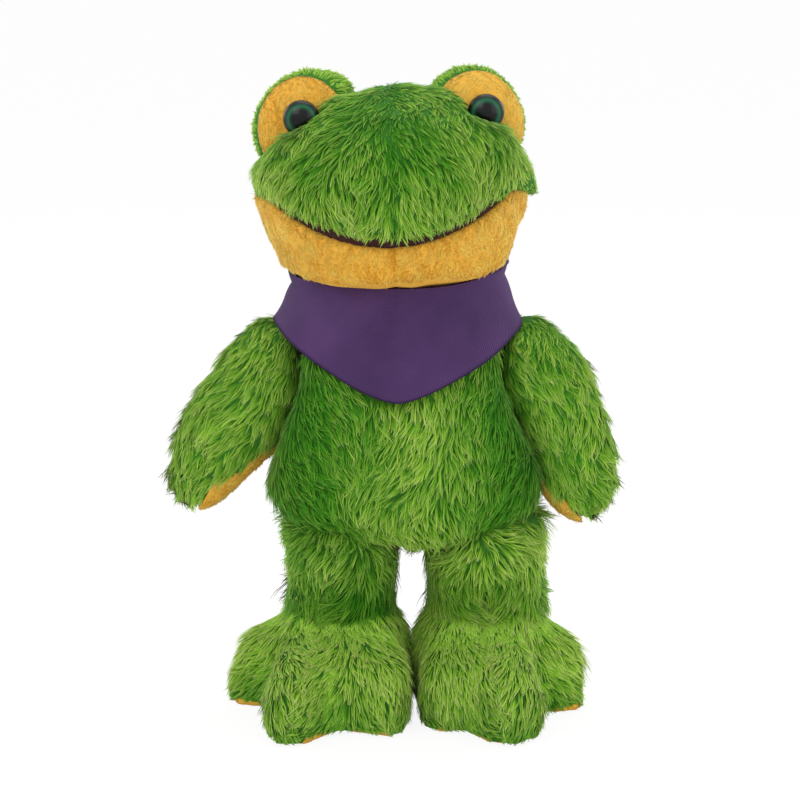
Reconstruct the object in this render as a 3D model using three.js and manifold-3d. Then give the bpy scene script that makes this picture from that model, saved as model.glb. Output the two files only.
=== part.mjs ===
// A standing plush frog: green pile covers over stuffing, sewn at neck, shoulders and hips.
// Millimetres, +Z up, the frog faces -Y and stands on its soles at z = 0.
import * as THREE from 'three';
import Module from 'manifold-3d';
import { mergeVertices } from 'three/addons/utils/BufferGeometryUtils.js';

const wasm = await Module();
wasm.setup();

// Values shared by all pieces
const gap = 0.3; // clearance between neighbouring pieces
const fillGap = 0.9; // clearance between a cover and what fills it
const skin = 2.6; // thickness of a cover with its pile pressed down
const overrun = 12; // how far a cutter reaches past what it cuts
const bodySides = 24; // points round the head and torso
const limbSides = 14; // points round an arm or a leg
const footSides = 34; // points round a foot

// Driving dimensions of each part
const neck = { z: 170.4, holeRadius: 16 };
// the legs stand a little to one side, by hip.shift
const hip = {
  z: 58, radius: 24, innerX: 2.6, holeRadius: 12, shift: 4.3, swingRoom: 1.2, swingRise: 10,
};
const torso = {
  hipRise: 2, halfWidth: 55, front: 44, back: 40,
  heightShares: [0, 0.06, 0.12, 0.19, 0.29, 0.42, 0.55, 0.68, 0.81, 0.91, 1],
  widthShares: [0.66, 0.88, 0.96, 1, 1, 0.96, 0.9, 0.84, 0.78, 0.68, 0.56],
  frontShares: [0.42, 0.68, 0.84, 0.94, 1, 1, 0.97, 0.91, 0.82, 0.7, 0.57],
  backShares: [0.45, 0.7, 0.85, 0.95, 1, 1, 0.95, 0.88, 0.78, 0.68, 0.6],
  roundness: 2.2,
};
const head = {
  height: 76, halfWidth: 56, front: 59, back: 44, tilt: -0.033, shift: -2.9,
  heightShares: [0, 0.06, 0.14, 0.25, 0.38, 0.5, 0.64, 0.77, 0.88, 0.95, 0.985, 1],
  widthShares: [0.58, 0.75, 0.83, 0.895, 0.95, 0.99, 0.975, 0.82, 0.59, 0.38, 0.2, 0.06],
  frontShares: [0.68, 0.83, 0.91, 0.96, 0.985, 1, 0.95, 0.86, 0.72, 0.56, 0.44, 0.36],
  backShares: [0.6, 0.75, 0.86, 0.95, 1, 1, 0.94, 0.81, 0.6, 0.36, 0.12, -0.2],
  roundness: 2,
};
const mouth = { rise: 19.3, cornerRise: 14, cornerX: 44, lip: 2.4, jawBackY: 6, steps: 12 };
const mound = {
  sideInset: 22.6, y: 3, drop: 15.4, halfWidth: 21, halfDepth: 20, halfHeight: 21.5, leanShare: 0.15,
  sides: 20, rows: 12,
};
const patch = { halfWidth: 18.6, halfHeight: 19.5, rise: -1.5, sides: 24 };
const eye = {
  radius: 7, domeHeight: 5.6, rim: 1.2, shankRadius: 1.9, shankLength: 9.5, riseZ: 3.8,
  sides: 20, arcSteps: 5,
};
const eyeOffset = { left: 0.7, right: 3.1 }; // outwards from the middle of each mound
const washer = { radius: 4.6, thickness: 1.4, setBack: 3.6, sides: 16 };
const shoulder = { inset: 16.5, drop: 31.6, radius: 18, coneRise: 36, coneRun: 17 };
const arm = {
  forward: 9, halfWidth: 18, halfDepth: 17, turn: 1.2,
  lengthShares: [0, 0.1, 0.22, 0.36, 0.5, 0.64, 0.78, 0.88, 0.955, 1],
  widthShares: [0.95, 0.96, 0.98, 1, 1, 0.98, 0.91, 0.78, 0.55, 0.2],
  turnShares: [0, 0.1, 0.3, 0.54, 0.74, 0.88, 0.96, 1, 1, 1],
  outShares: [0, 0.3, 0.58, 0.78, 0.92, 1],
  dropShares: [0, 0.05, 0.27, 0.52, 0.78, 1],
};
// how far each hand hangs out from its shoulder, how far below it, and how sharply the arm bends down
const armReach = { left: 44.6, right: 36.8 };
const armDrop = { left: 60, right: 64.5 };
const armBend = { left: 1.12, right: 0.8 };
const palm = { length: 40, inset: 5 };
const leg = {
  x: 29, ankleGap: 0.5, hipRise: 26, halfWidth: 25.7, front: 25, back: 24.5,
  heightShares: [0, 0.14, 0.3, 0.46, 0.62, 0.8, 1],
  widthShares: [0.94, 0.925, 0.925, 0.95, 0.98, 0.98, 0.94],
  frontShares: [0.86, 0.88, 0.92, 0.98, 1, 1, 1],
  backShares: [0.84, 0.86, 0.9, 0.97, 1, 1, 1],
  roundness: 2.5,
};
const foot = {
  topZ: 35, soleThickness: 3, heel: 26, ankleX: 28.6, roundness: 2.1, rings: 6,
  ankleHalfWidth: 23.2, ankleHalfDepth: 20, bluntness: 2.8,
};
// each toe turns from straight ahead by so many degrees, outwards if positive
const innerToeLeft = { turnDegrees: -22, reach: 60, spreadDegrees: 18 };
const frontToeLeft = { turnDegrees: 18, reach: 69, spreadDegrees: 20 };
const outerToeLeft = { turnDegrees: 84, reach: 47, spreadDegrees: 22 };
const innerToeRight = { turnDegrees: -23, reach: 53, spreadDegrees: 17 };
const frontToeRight = { turnDegrees: 9, reach: 67, spreadDegrees: 19 };
const outerToeRight = { turnDegrees: 69, reach: 45, spreadDegrees: 22 };
const toes = {
  left: [innerToeLeft, frontToeLeft, outerToeLeft],
  right: [innerToeRight, frontToeRight, outerToeRight],
};
const pellets = { height: 13, inset: 6 };
const scarf = {
  shift: -1, leanShare: 0.07, topInset: 14.6, topFront: 37, hemDrop: 13.8, hemInset: 6.6, hemFront: 43,
  flare: 2.4, hemRoundness: 1.5,
  backHemDrop: 18.4, pointDrop: 41.4, thickness: 1.4, sides: 44, rows: 4,
};
const knot = {
  halfWidth: 9, halfHeight: 7, halfDepth: 7.5, seatShare: 0.6, drop: 9.4, sides: 16, rows: 10,
};
const tail = {
  length: 28, topWidth: 7, endWidth: 15, slantShare: 0.8, thickness: 1.6, x: 6, spread: 0.35,
};

// Places that follow from them
torso.bottomZ = hip.z + torso.hipRise;
torso.topZ = neck.z;
shoulder.x = torso.halfWidth - shoulder.inset;
shoulder.z = neck.z - shoulder.drop;
leg.bottomZ = foot.topZ + leg.ankleGap;
leg.topZ = hip.z + leg.hipRise;
head.bottomZ = neck.z + gap;
mouth.centreZ = head.bottomZ + mouth.rise;
mound.x = head.halfWidth - mound.sideInset;
mound.z = head.bottomZ + head.height - mound.drop;
scarf.topHalfWidth = torso.halfWidth - scarf.topInset;
scarf.hemHalfWidth = torso.halfWidth - scarf.hemInset;
scarf.topZ = neck.z;
scarf.hemZ = neck.z - scarf.hemDrop;
scarf.backHemZ = neck.z - scarf.backHemDrop;
scarf.pointZ = neck.z - scarf.pointDrop;
knot.z = neck.z - knot.drop;

const colours = {
  green: 0x5c9a2e, yellow: 0xe3af3c, brown: 0x3a1d16, purple: 0x583b69,
  black: 0x101210, white: 0xe8e6df, clear: 0xd9dcd8,
};
const finishes = {
  pile: { roughness: 0.95, metalness: 0 },
  cloth: { roughness: 0.85, metalness: 0 },
  gloss: { roughness: 0.12, metalness: 0 },
  plastic: { roughness: 0.5, metalness: 0 },
};

// Solids and meshes
function solidOf(geometry) {
  const bare = geometry.clone();
  bare.deleteAttribute('normal');
  bare.deleteAttribute('uv');
  const merged = mergeVertices(bare, gap / 1000);
  return new wasm.Manifold(new wasm.Mesh({
    numProp: 3,
    vertProperties: new Float32Array(merged.attributes.position.array),
    triVerts: new Uint32Array(merged.index.array),
  }));
}

function geometryOf(solid) {
  const mesh = solid.getMesh();
  const geometry = new THREE.BufferGeometry();
  geometry.setAttribute('position', new THREE.BufferAttribute(new Float32Array(mesh.vertProperties), 3));
  geometry.setIndex(new THREE.BufferAttribute(new Uint32Array(mesh.triVerts), 1));
  geometry.computeVertexNormals();
  return geometry;
}

function piece(name, solid, colour, finish) {
  const material = new THREE.MeshStandardMaterial({ color: colours[colour], ...finishes[finish] });
  const mesh = new THREE.Mesh(geometryOf(solid), material);
  mesh.name = name;
  return mesh;
}

// A closed skin through rings of equal point counts, with a flat fan at each end
function loft(rings) {
  const sides = rings[0].length;
  const points = rings.flat();
  const index = [];
  for (let ring = 0; ring < rings.length - 1; ring += 1) {
    for (let side = 0; side < sides; side += 1) {
      const next = (side + 1) % sides;
      const low = ring * sides;
      const high = low + sides;
      index.push(low + side, low + next, high + next, low + side, high + next, high + side);
    }
  }
  const ends = [rings[0], rings[rings.length - 1]].map((ring) => {
    const centre = new THREE.Vector3();
    ring.forEach((point) => centre.add(point));
    return centre.divideScalar(sides);
  });
  const first = points.length;
  points.push(...ends);
  const lastRing = (rings.length - 1) * sides;
  for (let side = 0; side < sides; side += 1) {
    const next = (side + 1) % sides;
    index.push(first, next, side, first + 1, lastRing + side, lastRing + next);
  }
  const geometry = new THREE.BufferGeometry().setFromPoints(points);
  geometry.setIndex(index);
  return geometry;
}

const rounded = (value, power) => Math.sign(value) * Math.abs(value) ** (2 / power);

// A level ring: a rounded oval with its own reach to the front and to the back
function levelRing(x, z, halfWidth, front, back, power, sides) {
  return Array.from({ length: sides }, (_, side) => {
    const turn = (2 * Math.PI * side) / sides;
    const ahead = rounded(Math.sin(turn), power);
    return new THREE.Vector3(
      x + halfWidth * rounded(Math.cos(turn), power), ahead * (ahead < 0 ? front : back), z,
    );
  });
}

// What share of its full reach a form has at a height
function shareAt(form, shares, z) {
  const height = (z - form.bottomZ) / (form.topZ - form.bottomZ);
  const row = form.heightShares.findIndex((share) => share > height) - 1;
  const low = form.heightShares[row];
  const along = (height - low) / (form.heightShares[row + 1] - low);
  return THREE.MathUtils.lerp(shares[row], shares[row + 1], along);
}

// A swelling body of level rings; inset draws it in all round, and at each end by its own amount
function swollen(form, x, bottomZ, topZ, sides, inset = 0, bottomInset = inset, topInset = inset) {
  const low = bottomZ + bottomInset;
  const rise = topZ - topInset - low;
  return loft(form.heightShares.map((share, row) => levelRing(
    x, low + share * rise,
    Math.max(form.halfWidth * form.widthShares[row] - inset, gap),
    Math.max(form.front * form.frontShares[row] - inset, gap),
    form.back * form.backShares[row] - Math.min(inset, form.back * Math.abs(form.backShares[row]) / 2),
    form.roundness, sides,
  )));
}

// A drum about an axis along X, from innerX outwards on one side
function sideDrum(side, innerX, outerX, y, z, radius) {
  const length = outerX - innerX;
  const drum = new THREE.CylinderGeometry(radius, radius, length, 2 * limbSides);
  drum.rotateZ(Math.PI / 2);
  drum.translate(side * (innerX + length / 2), y, z);
  return drum;
}

function boxAt(x0, x1, y0, y1, z0, z1) {
  const box = new THREE.BoxGeometry(Math.abs(x1 - x0), Math.abs(y1 - y0), Math.abs(z1 - z0));
  box.translate((x0 + x1) / 2, (y0 + y1) / 2, (z0 + z1) / 2);
  return box;
}

function upright(radius, z0, z1, sides) {
  const post = new THREE.CylinderGeometry(radius, radius, z1 - z0, sides);
  post.rotateX(Math.PI / 2);
  post.translate(0, 0, (z0 + z1) / 2);
  return post;
}

// Shoulder pocket: a flat seat for the arm and a cone that clears its swing
function shoulderPocket(side, inset) {
  const root = shoulder.radius + inset;
  const seatX = shoulder.x - inset;
  const cone = new THREE.CylinderGeometry(
    root + shoulder.coneRise, root, shoulder.coneRun, 2 * limbSides,
  );
  cone.translate(0, shoulder.coneRun / 2, 0);
  const rim = new THREE.CylinderGeometry(
    root + shoulder.coneRise, root + shoulder.coneRise, overrun, 2 * limbSides,
  );
  rim.translate(0, shoulder.coneRun + overrun / 2, 0);
  const cutter = solidOf(cone).add(solidOf(rim));
  const turned = geometryOf(cutter);
  turned.rotateZ(side > 0 ? -Math.PI / 2 : Math.PI / 2);
  turned.translate(side * seatX, 0, shoulder.z);
  return solidOf(turned);
}

// Hip socket: a drum about the hip axis, so that the leg turns in it, with room for the thigh in front
function hipSocket(side, inset) {
  const outerX = torso.halfWidth + overrun;
  const drum = sideDrum(side, hip.innerX - inset, outerX, 0, hip.z, hip.radius + inset);
  const below = boxAt(
    side * (hip.innerX - inset), side * outerX,
    -hip.radius - hip.swingRoom - inset, hip.radius + inset, hip.z - overrun, hip.z + hip.swingRise,
  );
  drum.translate(hip.shift, 0, 0);
  below.translate(hip.shift, 0, 0);
  return solidOf(drum).add(solidOf(below));
}

function withoutSeats(solid, inset) {
  let left = solid;
  for (const side of [-1, 1]) {
    left = left.subtract(shoulderPocket(side, inset)).subtract(hipSocket(side, inset));
  }
  return left;
}

// The largest body of a solid, so that no sliver is left beside it
function largest(solid) {
  const bodies = solid.decompose();
  bodies.sort((a, b) => b.volume() - a.volume());
  return bodies[0];
}

function torsoSolid(inset) {
  return solidOf(swollen(torso, 0, torso.bottomZ, torso.topZ, bodySides, inset));
}

function torsoPieces() {
  const outer = withoutSeats(torsoSolid(0), gap);
  const inner = withoutSeats(torsoSolid(skin), gap + skin);
  const holeBottomZ = torso.topZ - skin - overrun / 2;
  const hole = solidOf(upright(neck.holeRadius, holeBottomZ, torso.topZ + overrun, bodySides));
  const filling = withoutSeats(torsoSolid(skin + gap), 2 * gap + skin);
  return [
    piece('torso_cover', largest(outer.subtract(largest(inner)).subtract(hole)), 'green', 'pile'),
    piece('torso_stuffing', largest(filling), 'white', 'cloth'),
  ];
}

// Head, in its upright place; the group that holds it tilts it a little
function headSolid(inset, bottomInset = inset) {
  return solidOf(swollen(
    head, 0, head.bottomZ, head.bottomZ + head.height, bodySides, inset, bottomInset,
  ));
}

function mouthLine(x) {
  return mouth.centreZ + mouth.cornerRise * (x / mouth.cornerX) ** 2;
}

// A slab along Y under or round the mouth line, from lift below to lift above it
function mouthSlab(below, above, frontY, backY, reachX) {
  const outline = new THREE.Shape();
  const top = [];
  const bottom = [];
  for (let step = 0; step <= mouth.steps; step += 1) {
    const x = reachX * ((2 * step) / mouth.steps - 1);
    top.push(new THREE.Vector2(x, mouthLine(x) + above));
    bottom.push(new THREE.Vector2(x, below === null ? head.bottomZ - overrun : mouthLine(x) - below));
  }
  outline.setFromPoints([...bottom, ...top.reverse()]);
  const depth = backY - frontY;
  const slab = new THREE.ExtrudeGeometry(outline, { depth, bevelEnabled: false, steps: 1 });
  slab.rotateX(Math.PI / 2);
  slab.translate(0, backY, 0);
  return solidOf(slab);
}

function moundSolid(side, inset) {
  const ball = new THREE.SphereGeometry(1, mound.sides, mound.rows);
  ball.scale(mound.halfWidth - inset, mound.halfDepth - inset, mound.halfHeight - inset);
  ball.applyMatrix4(new THREE.Matrix4().makeShear(0, 0, 0, 0, -side * mound.leanShare, 0));
  ball.translate(side * mound.x, mound.y, mound.z);
  return solidOf(ball);
}

const eyeZ = mound.z + eye.riseZ;

// Where the front of the mound lies at the eye
function eyeSeatY(word) {
  const acrossShare = (eyeOffset[word] + mound.leanShare * eye.riseZ) / mound.halfWidth;
  const upShare = eye.riseZ / mound.halfHeight;
  return mound.y - mound.halfDepth * Math.sqrt(1 - acrossShare ** 2 - upShare ** 2);
}

// A rod along Y at an eye
function eyeRod(side, word, radius, frontY, backY, sides) {
  const rod = new THREE.CylinderGeometry(radius, radius, backY - frontY, sides);
  rod.translate(side * (mound.x + eyeOffset[word]), (frontY + backY) / 2, eyeZ);
  return solidOf(rod);
}

function patchPrism(side, inset) {
  const prism = new THREE.CylinderGeometry(1, 1, mound.halfDepth, patch.sides);
  prism.scale(patch.halfWidth - inset, 1, patch.halfHeight - inset);
  prism.translate(side * mound.x, mound.y - mound.halfDepth / 2 - skin, mound.z + patch.rise);
  return solidOf(prism);
}

function eyeSolid(side, word) {
  const profile = [];
  const flat = eye.rim;
  profile.push(new THREE.Vector2(0, eye.domeHeight));
  for (let step = 1; step <= eye.arcSteps; step += 1) {
    const turn = (Math.PI / 2) * (step / eye.arcSteps);
    profile.push(new THREE.Vector2(
      eye.radius * Math.sin(turn), flat + (eye.domeHeight - flat) * Math.cos(turn),
    ));
  }
  profile.push(new THREE.Vector2(eye.radius - flat / 2, 0));
  profile.push(new THREE.Vector2(eye.shankRadius, 0));
  profile.push(new THREE.Vector2(eye.shankRadius, -eye.shankLength + eye.shankRadius));
  profile.push(new THREE.Vector2(eye.shankRadius / 2, -eye.shankLength));
  profile.push(new THREE.Vector2(0, -eye.shankLength));
  const turned = new THREE.LatheGeometry(profile.reverse(), eye.sides);
  turned.rotateX(Math.PI);
  turned.translate(side * (mound.x + eyeOffset[word]), eyeSeatY(word) - gap, eyeZ);
  return solidOf(turned);
}

function washerSolid(side, word) {
  const frontY = eyeSeatY(word) + skin + washer.setBack;
  const disc = eyeRod(side, word, washer.radius, frontY, frontY + washer.thickness, washer.sides);
  return disc.subtract(eyeRod(
    side, word, eye.shankRadius + gap, frontY - overrun, frontY + overrun, washer.sides,
  ));
}

// A head piece takes its tilt about the middle of the neck seam, and the seam cuts it level
function headPiece(name, solid, colour, finish) {
  const geometry = geometryOf(solid);
  geometry.translate(0, 0, -head.bottomZ);
  geometry.rotateY(head.tilt);
  geometry.translate(head.shift, 0, head.bottomZ);
  const wide = head.halfWidth + overrun;
  const below = solidOf(boxAt(-wide, wide, -wide, wide, head.bottomZ - overrun, head.bottomZ));
  return piece(name, largest(solidOf(geometry).subtract(below)), colour, finish);
}

function eyePieces(side, word) {
  const green = moundSolid(side, 0);
  const core = moundSolid(side, skin + gap);
  const headRoom = headSolid(-gap, 0);
  const pocket = patchPrism(side, -gap).subtract(core);
  const seatY = eyeSeatY(word);
  const boreBackY = seatY + eye.shankLength + gap;
  const bore = eyeRod(side, word, washer.radius + gap, seatY - overrun, boreBackY, washer.sides);
  const shankBore = eyeRod(side, word, eye.shankRadius + gap, seatY - overrun, mound.y, eye.sides);
  // the eye presses a flat seat into the pile
  const seat = eyeRod(side, word, eye.radius + gap, seatY - overrun, seatY, eye.sides);
  const cap = green.intersect(patchPrism(side, 0)).subtract(moundSolid(side, skin)).subtract(seat);
  const ball = green.subtract(pocket).subtract(bore);
  return [
    headPiece(`eye_mound_${word}`, ball.subtract(headRoom), 'green', 'pile'),
    headPiece(`eye_patch_${word}`, cap.subtract(shankBore).subtract(headRoom), 'yellow', 'pile'),
    headPiece(`eye_${word}`, eyeSolid(side, word), 'black', 'gloss'),
    headPiece(`eye_washer_${word}`, washerSolid(side, word), 'clear', 'plastic'),
  ];
}

// The room that an eye and its shank press into the pile of the snout
function eyeRoom(side, word) {
  const seatY = eyeSeatY(word);
  const backY = seatY + eye.shankLength + gap;
  return eyeRod(side, word, eye.radius + gap, seatY - eye.domeHeight - 2 * gap, backY, eye.sides);
}

function headPieces() {
  const eyeRooms = eyeRoom(-1, 'left').add(eyeRoom(1, 'right'));
  const lipHalf = mouth.lip / 2;
  const frontY = -head.front - overrun;
  const wide = head.halfWidth + overrun;
  const holeTopZ = head.bottomZ + skin + overrun / 2;
  const hole = solidOf(upright(neck.holeRadius, head.bottomZ - overrun, holeTopZ, bodySides));
  const shell = headSolid(0).subtract(headSolid(skin)).subtract(hole);
  const below = mouthSlab(null, -lipHalf - gap, frontY, mouth.jawBackY - gap, wide);
  const belowAndLip = mouthSlab(null, lipHalf + gap, frontY, mouth.jawBackY, wide);
  const lip = mouthSlab(lipHalf, lipHalf, frontY, mouth.jawBackY - gap, wide);
  const lipRoom = mouthSlab(lipHalf + gap, lipHalf + gap, frontY, mouth.jawBackY, wide);
  const stuffing = headSolid(skin + fillGap);
  return [
    headPiece('head_cover', shell.subtract(belowAndLip).subtract(eyeRooms), 'green', 'pile'),
    headPiece('jaw_cover', shell.intersect(below), 'yellow', 'pile'),
    headPiece('mouth_lining', headSolid(gap).intersect(lip), 'brown', 'cloth'),
    headPiece('head_stuffing', stuffing.subtract(lipRoom).subtract(eyeRooms), 'white', 'cloth'),
    ...eyePieces(-1, 'left'),
    ...eyePieces(1, 'right'),
  ];
}

// Arms: rings along a curve that leaves the shoulder seam square and bends down to the hand
function armCurve(side, word) {
  return new THREE.CatmullRomCurve3(arm.outShares.map((share, point) => new THREE.Vector3(
    side * (shoulder.x + share ** armBend[word] * armReach[word]), -arm.forward * arm.dropShares[point],
    shoulder.z - armDrop[word] * arm.dropShares[point],
  )));
}

function armAxes(side, share) {
  const turn = arm.turn * share;
  return {
    along: new THREE.Vector3(side * Math.cos(turn), 0, -Math.sin(turn)),
    across: new THREE.Vector3(0, side, 0),
    outward: new THREE.Vector3(side * Math.sin(turn), 0, Math.cos(turn)),
  };
}

// inset draws the arm in all round and at the hand; rootReach carries its root end into the seam
function armSolid(side, word, inset, rootReach = 0) {
  const curve = armCurve(side, word);
  const length = curve.getLength();
  const rings = arm.lengthShares.map((share, row) => {
    const centre = curve.getPointAt(share * (1 - inset / length));
    const axes = armAxes(side, arm.turnShares[row]);
    const halfWidth = Math.max(arm.halfWidth * arm.widthShares[row] - inset, gap);
    const halfDepth = Math.max(arm.halfDepth * arm.widthShares[row] - inset, gap);
    return Array.from({ length: limbSides }, (_, step) => {
      const angle = (2 * Math.PI * step) / limbSides;
      return centre.clone()
        .addScaledVector(axes.across, halfDepth * Math.cos(angle))
        .addScaledVector(axes.outward, halfWidth * Math.sin(angle));
    });
  });
  if (rootReach > 0) {
    const inward = new THREE.Vector3(-side * rootReach, 0, 0);
    rings.unshift(rings[0].map((point) => point.clone().add(inward)));
  }
  return solidOf(loft(rings));
}

// The side of the hand that faces the body, from the palm's top edge past the finger tips
function palmBlock(side, word, grow) {
  const axes = armAxes(side, 1);
  const tip = armCurve(side, word).getPointAt(1);
  const size = arm.halfWidth + overrun;
  const block = boxAt(
    -palm.length - grow, overrun, -size, size, -size, -palm.inset + grow,
  );
  block.applyMatrix4(new THREE.Matrix4().makeBasis(axes.along, axes.across, axes.outward));
  block.translate(tip.x, tip.y, tip.z);
  return solidOf(block);
}

function armPieces(side, word) {
  const shell = armSolid(side, word, 0).subtract(armSolid(side, word, skin, overrun));
  return [
    piece(`arm_cover_${word}`, largest(shell.subtract(palmBlock(side, word, gap))), 'green', 'pile'),
    piece(`palm_${word}`, largest(shell.intersect(palmBlock(side, word, 0))), 'yellow', 'pile'),
    piece(`arm_stuffing_${word}`, armSolid(side, word, skin + fillGap), 'white', 'cloth'),
  ];
}

// Legs: each turns in its socket on a drum about the hip axis
function legSolid(side, inset) {
  const body = solidOf(swollen(leg, side * leg.x, leg.bottomZ, leg.topZ, limbSides, inset, 0));
  const wide = torso.halfWidth + overrun;
  const drum = sideDrum(side, 0, wide, 0, hip.z, hip.radius - inset);
  const below = boxAt(0, side * wide, -wide, wide, leg.bottomZ - overrun, hip.z);
  return body.intersect(solidOf(drum).add(solidOf(below)));
}

// A level tube from z0 to z1 with the leg's ankle section
function anklePost(side, inset, z0, z1) {
  const rings = [z0, z1].map((z) => levelRing(
    side * leg.x, z, leg.halfWidth * leg.widthShares[0] - inset,
    leg.front * leg.frontShares[0] - inset, leg.back * leg.backShares[0] - inset,
    leg.roundness, limbSides,
  ));
  return solidOf(loft(rings));
}

function legPieces(side, word) {
  const hole = upright(hip.holeRadius, hip.z, leg.topZ + overrun, limbSides);
  hole.translate(side * leg.x, 0, 0);
  const ankleHole = anklePost(side, skin, leg.bottomZ - overrun, leg.bottomZ + overrun);
  const shell = legSolid(side, 0).subtract(legSolid(side, skin));
  const cover = shell.subtract(solidOf(hole)).subtract(ankleHole);
  const pelletTopZ = foot.soleThickness + gap + pellets.height;
  const column = anklePost(side, skin + fillGap, pelletTopZ + gap, leg.bottomZ + overrun);
  return [
    piece(`leg_cover_${word}`, largest(cover), 'green', 'pile'),
    piece(`leg_stuffing_${word}`, largest(legSolid(side, skin + fillGap).add(column)), 'white', 'cloth'),
  ];
}

// Feet: a three-toed outline that closes in to the ankle as it rises
function toeReach(word, turn) {
  const lobes = toes[word].map((toe) => {
    const away = (THREE.MathUtils.radToDeg(turn) - toe.turnDegrees) / toe.spreadDegrees;
    return (toe.reach - foot.heel) * Math.exp(-(Math.abs(away) ** foot.bluntness));
  });
  return foot.heel + Math.hypot(...lobes);
}

function footRing(side, word, z, closing, inset) {
  const ring = Array.from({ length: footSides }, (_, step) => {
    const turn = (2 * Math.PI * step) / footSides - Math.PI;
    const reach = toeReach(word, turn) - inset;
    const ahead = new THREE.Vector3(side * Math.sin(turn), -Math.cos(turn), 0);
    const low = ahead.clone().multiplyScalar(reach).add(new THREE.Vector3(side * foot.ankleX, 0, z));
    const high = new THREE.Vector3(
      side * (leg.x + (foot.ankleHalfWidth - inset) * Math.sin(turn)),
      -(foot.ankleHalfDepth - inset) * Math.cos(turn), z,
    );
    return low.lerp(high, closing);
  });
  return side > 0 ? ring : ring.reverse();
}

function footSolid(side, word, inset, bottomZ, topZ) {
  const rings = Array.from({ length: foot.rings }, (_, row) => {
    const share = row / (foot.rings - 1);
    const closing = 1 - (1 - share ** foot.roundness) ** (1 / foot.roundness);
    return footRing(side, word, bottomZ + share * (topZ - bottomZ), closing, inset);
  });
  return solidOf(loft(rings));
}

function footPieces(side, word) {
  const seatZ = foot.soleThickness + gap;
  const inner = footSolid(side, word, skin, seatZ, foot.topZ - skin);
  const opening = solidOf(loft([
    footRing(side, word, seatZ - overrun, 0, skin), footRing(side, word, seatZ + gap, 0, skin),
  ]));
  const ankleHole = anklePost(side, skin, foot.topZ - overrun, foot.topZ + overrun);
  const shell = footSolid(side, word, 0, seatZ, foot.topZ).subtract(inner).subtract(opening);
  const cover = shell.subtract(ankleHole);
  const sole = loft([footRing(side, word, 0, 0, gap), footRing(side, word, foot.soleThickness, 0, 0)]);
  const bag = footSolid(side, word, pellets.inset, seatZ, seatZ + pellets.height);
  return [
    piece(`foot_cover_${word}`, largest(cover), 'green', 'pile'),
    piece(`sole_${word}`, solidOf(sole), 'yellow', 'pile'),
    piece(`pellet_bag_${word}`, bag, 'white', 'cloth'),
  ];
}

// Neckerchief: one band of cloth round the neck whose front hangs to a point on the chest
const scarfBack = torso.back * shareAt(torso, torso.backShares, scarf.backHemZ) + gap;
const scarfPointFront = torso.front * shareAt(torso, torso.frontShares, scarf.pointZ) + gap;

function scarfPoint(turn, drop, grow) {
  const sine = Math.sin(turn);
  const cosine = Math.cos(turn);
  const inFront = cosine > 0;
  const endZ = inFront ? scarf.pointZ : scarf.backHemZ;
  const hemZ = endZ + (scarf.hemZ - endZ) * Math.abs(sine) ** scarf.hemRoundness;
  const hemFront = scarf.hemFront + (scarfPointFront - scarf.hemFront) * cosine ** 2;
  const topReach = inFront ? scarf.topFront : scarfBack;
  const hemReach = inFront ? hemFront : scarfBack;
  const z = THREE.MathUtils.lerp(scarf.topZ, hemZ, drop);
  const halfWidth = THREE.MathUtils.lerp(scarf.topHalfWidth, scarf.hemHalfWidth, drop ** scarf.flare);
  return new THREE.Vector3(
    scarf.shift - scarf.leanShare * (scarf.topZ - z) + (halfWidth + grow) * sine,
    -(THREE.MathUtils.lerp(topReach, hemReach, drop) + grow) * cosine, z,
  );
}

function scarfSolid() {
  const points = [];
  const index = [];
  const loop = 2 * scarf.rows;
  for (let side = 0; side < scarf.sides; side += 1) {
    const turn = (2 * Math.PI * side) / scarf.sides;
    for (let step = 0; step < loop; step += 1) {
      const outside = step < scarf.rows;
      const row = outside ? step : loop - 1 - step;
      points.push(scarfPoint(turn, row / (scarf.rows - 1), outside ? scarf.thickness : 0));
    }
  }
  for (let side = 0; side < scarf.sides; side += 1) {
    const here = side * loop;
    const there = ((side + 1) % scarf.sides) * loop;
    for (let step = 0; step < loop; step += 1) {
      const next = (step + 1) % loop;
      index.push(here + step, here + next, there + next, here + step, there + next, there + step);
    }
  }
  const geometry = new THREE.BufferGeometry().setFromPoints(points);
  geometry.setIndex(index);
  return solidOf(geometry);
}

const knotSeatY = scarfBack + scarf.thickness + gap;
const knotY = knotSeatY + knot.halfDepth * knot.seatShare;

function knotSolid() {
  const ball = new THREE.SphereGeometry(1, knot.sides, knot.rows);
  ball.scale(knot.halfWidth, knot.halfDepth, knot.halfHeight);
  ball.translate(0, knotY, knot.z);
  const wide = knot.halfWidth + overrun;
  const front = boxAt(-wide, wide, knotSeatY - wide, knotSeatY, knot.z - wide, knot.z + wide);
  return solidOf(ball).subtract(solidOf(front));
}

function tailSolid(side) {
  const outline = new THREE.Shape([
    new THREE.Vector2(-tail.topWidth / 2, 0),
    new THREE.Vector2(-tail.endWidth / 2, -tail.length),
    new THREE.Vector2(tail.endWidth / 2, -tail.length * tail.slantShare),
    new THREE.Vector2(tail.topWidth / 2, 0),
  ]);
  const depth = tail.thickness;
  const strip = new THREE.ExtrudeGeometry(outline, { depth, bevelEnabled: false, steps: 1 });
  strip.rotateX(Math.PI / 2);
  strip.rotateY(-side * tail.spread);
  strip.translate(side * tail.x, knotY + tail.thickness, knot.z);
  const ball = new THREE.SphereGeometry(1, knot.sides, knot.rows);
  ball.scale(knot.halfWidth + gap, knot.halfDepth + gap, knot.halfHeight + gap);
  ball.translate(0, knotY, knot.z);
  return largest(solidOf(strip).subtract(solidOf(ball)));
}

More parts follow.
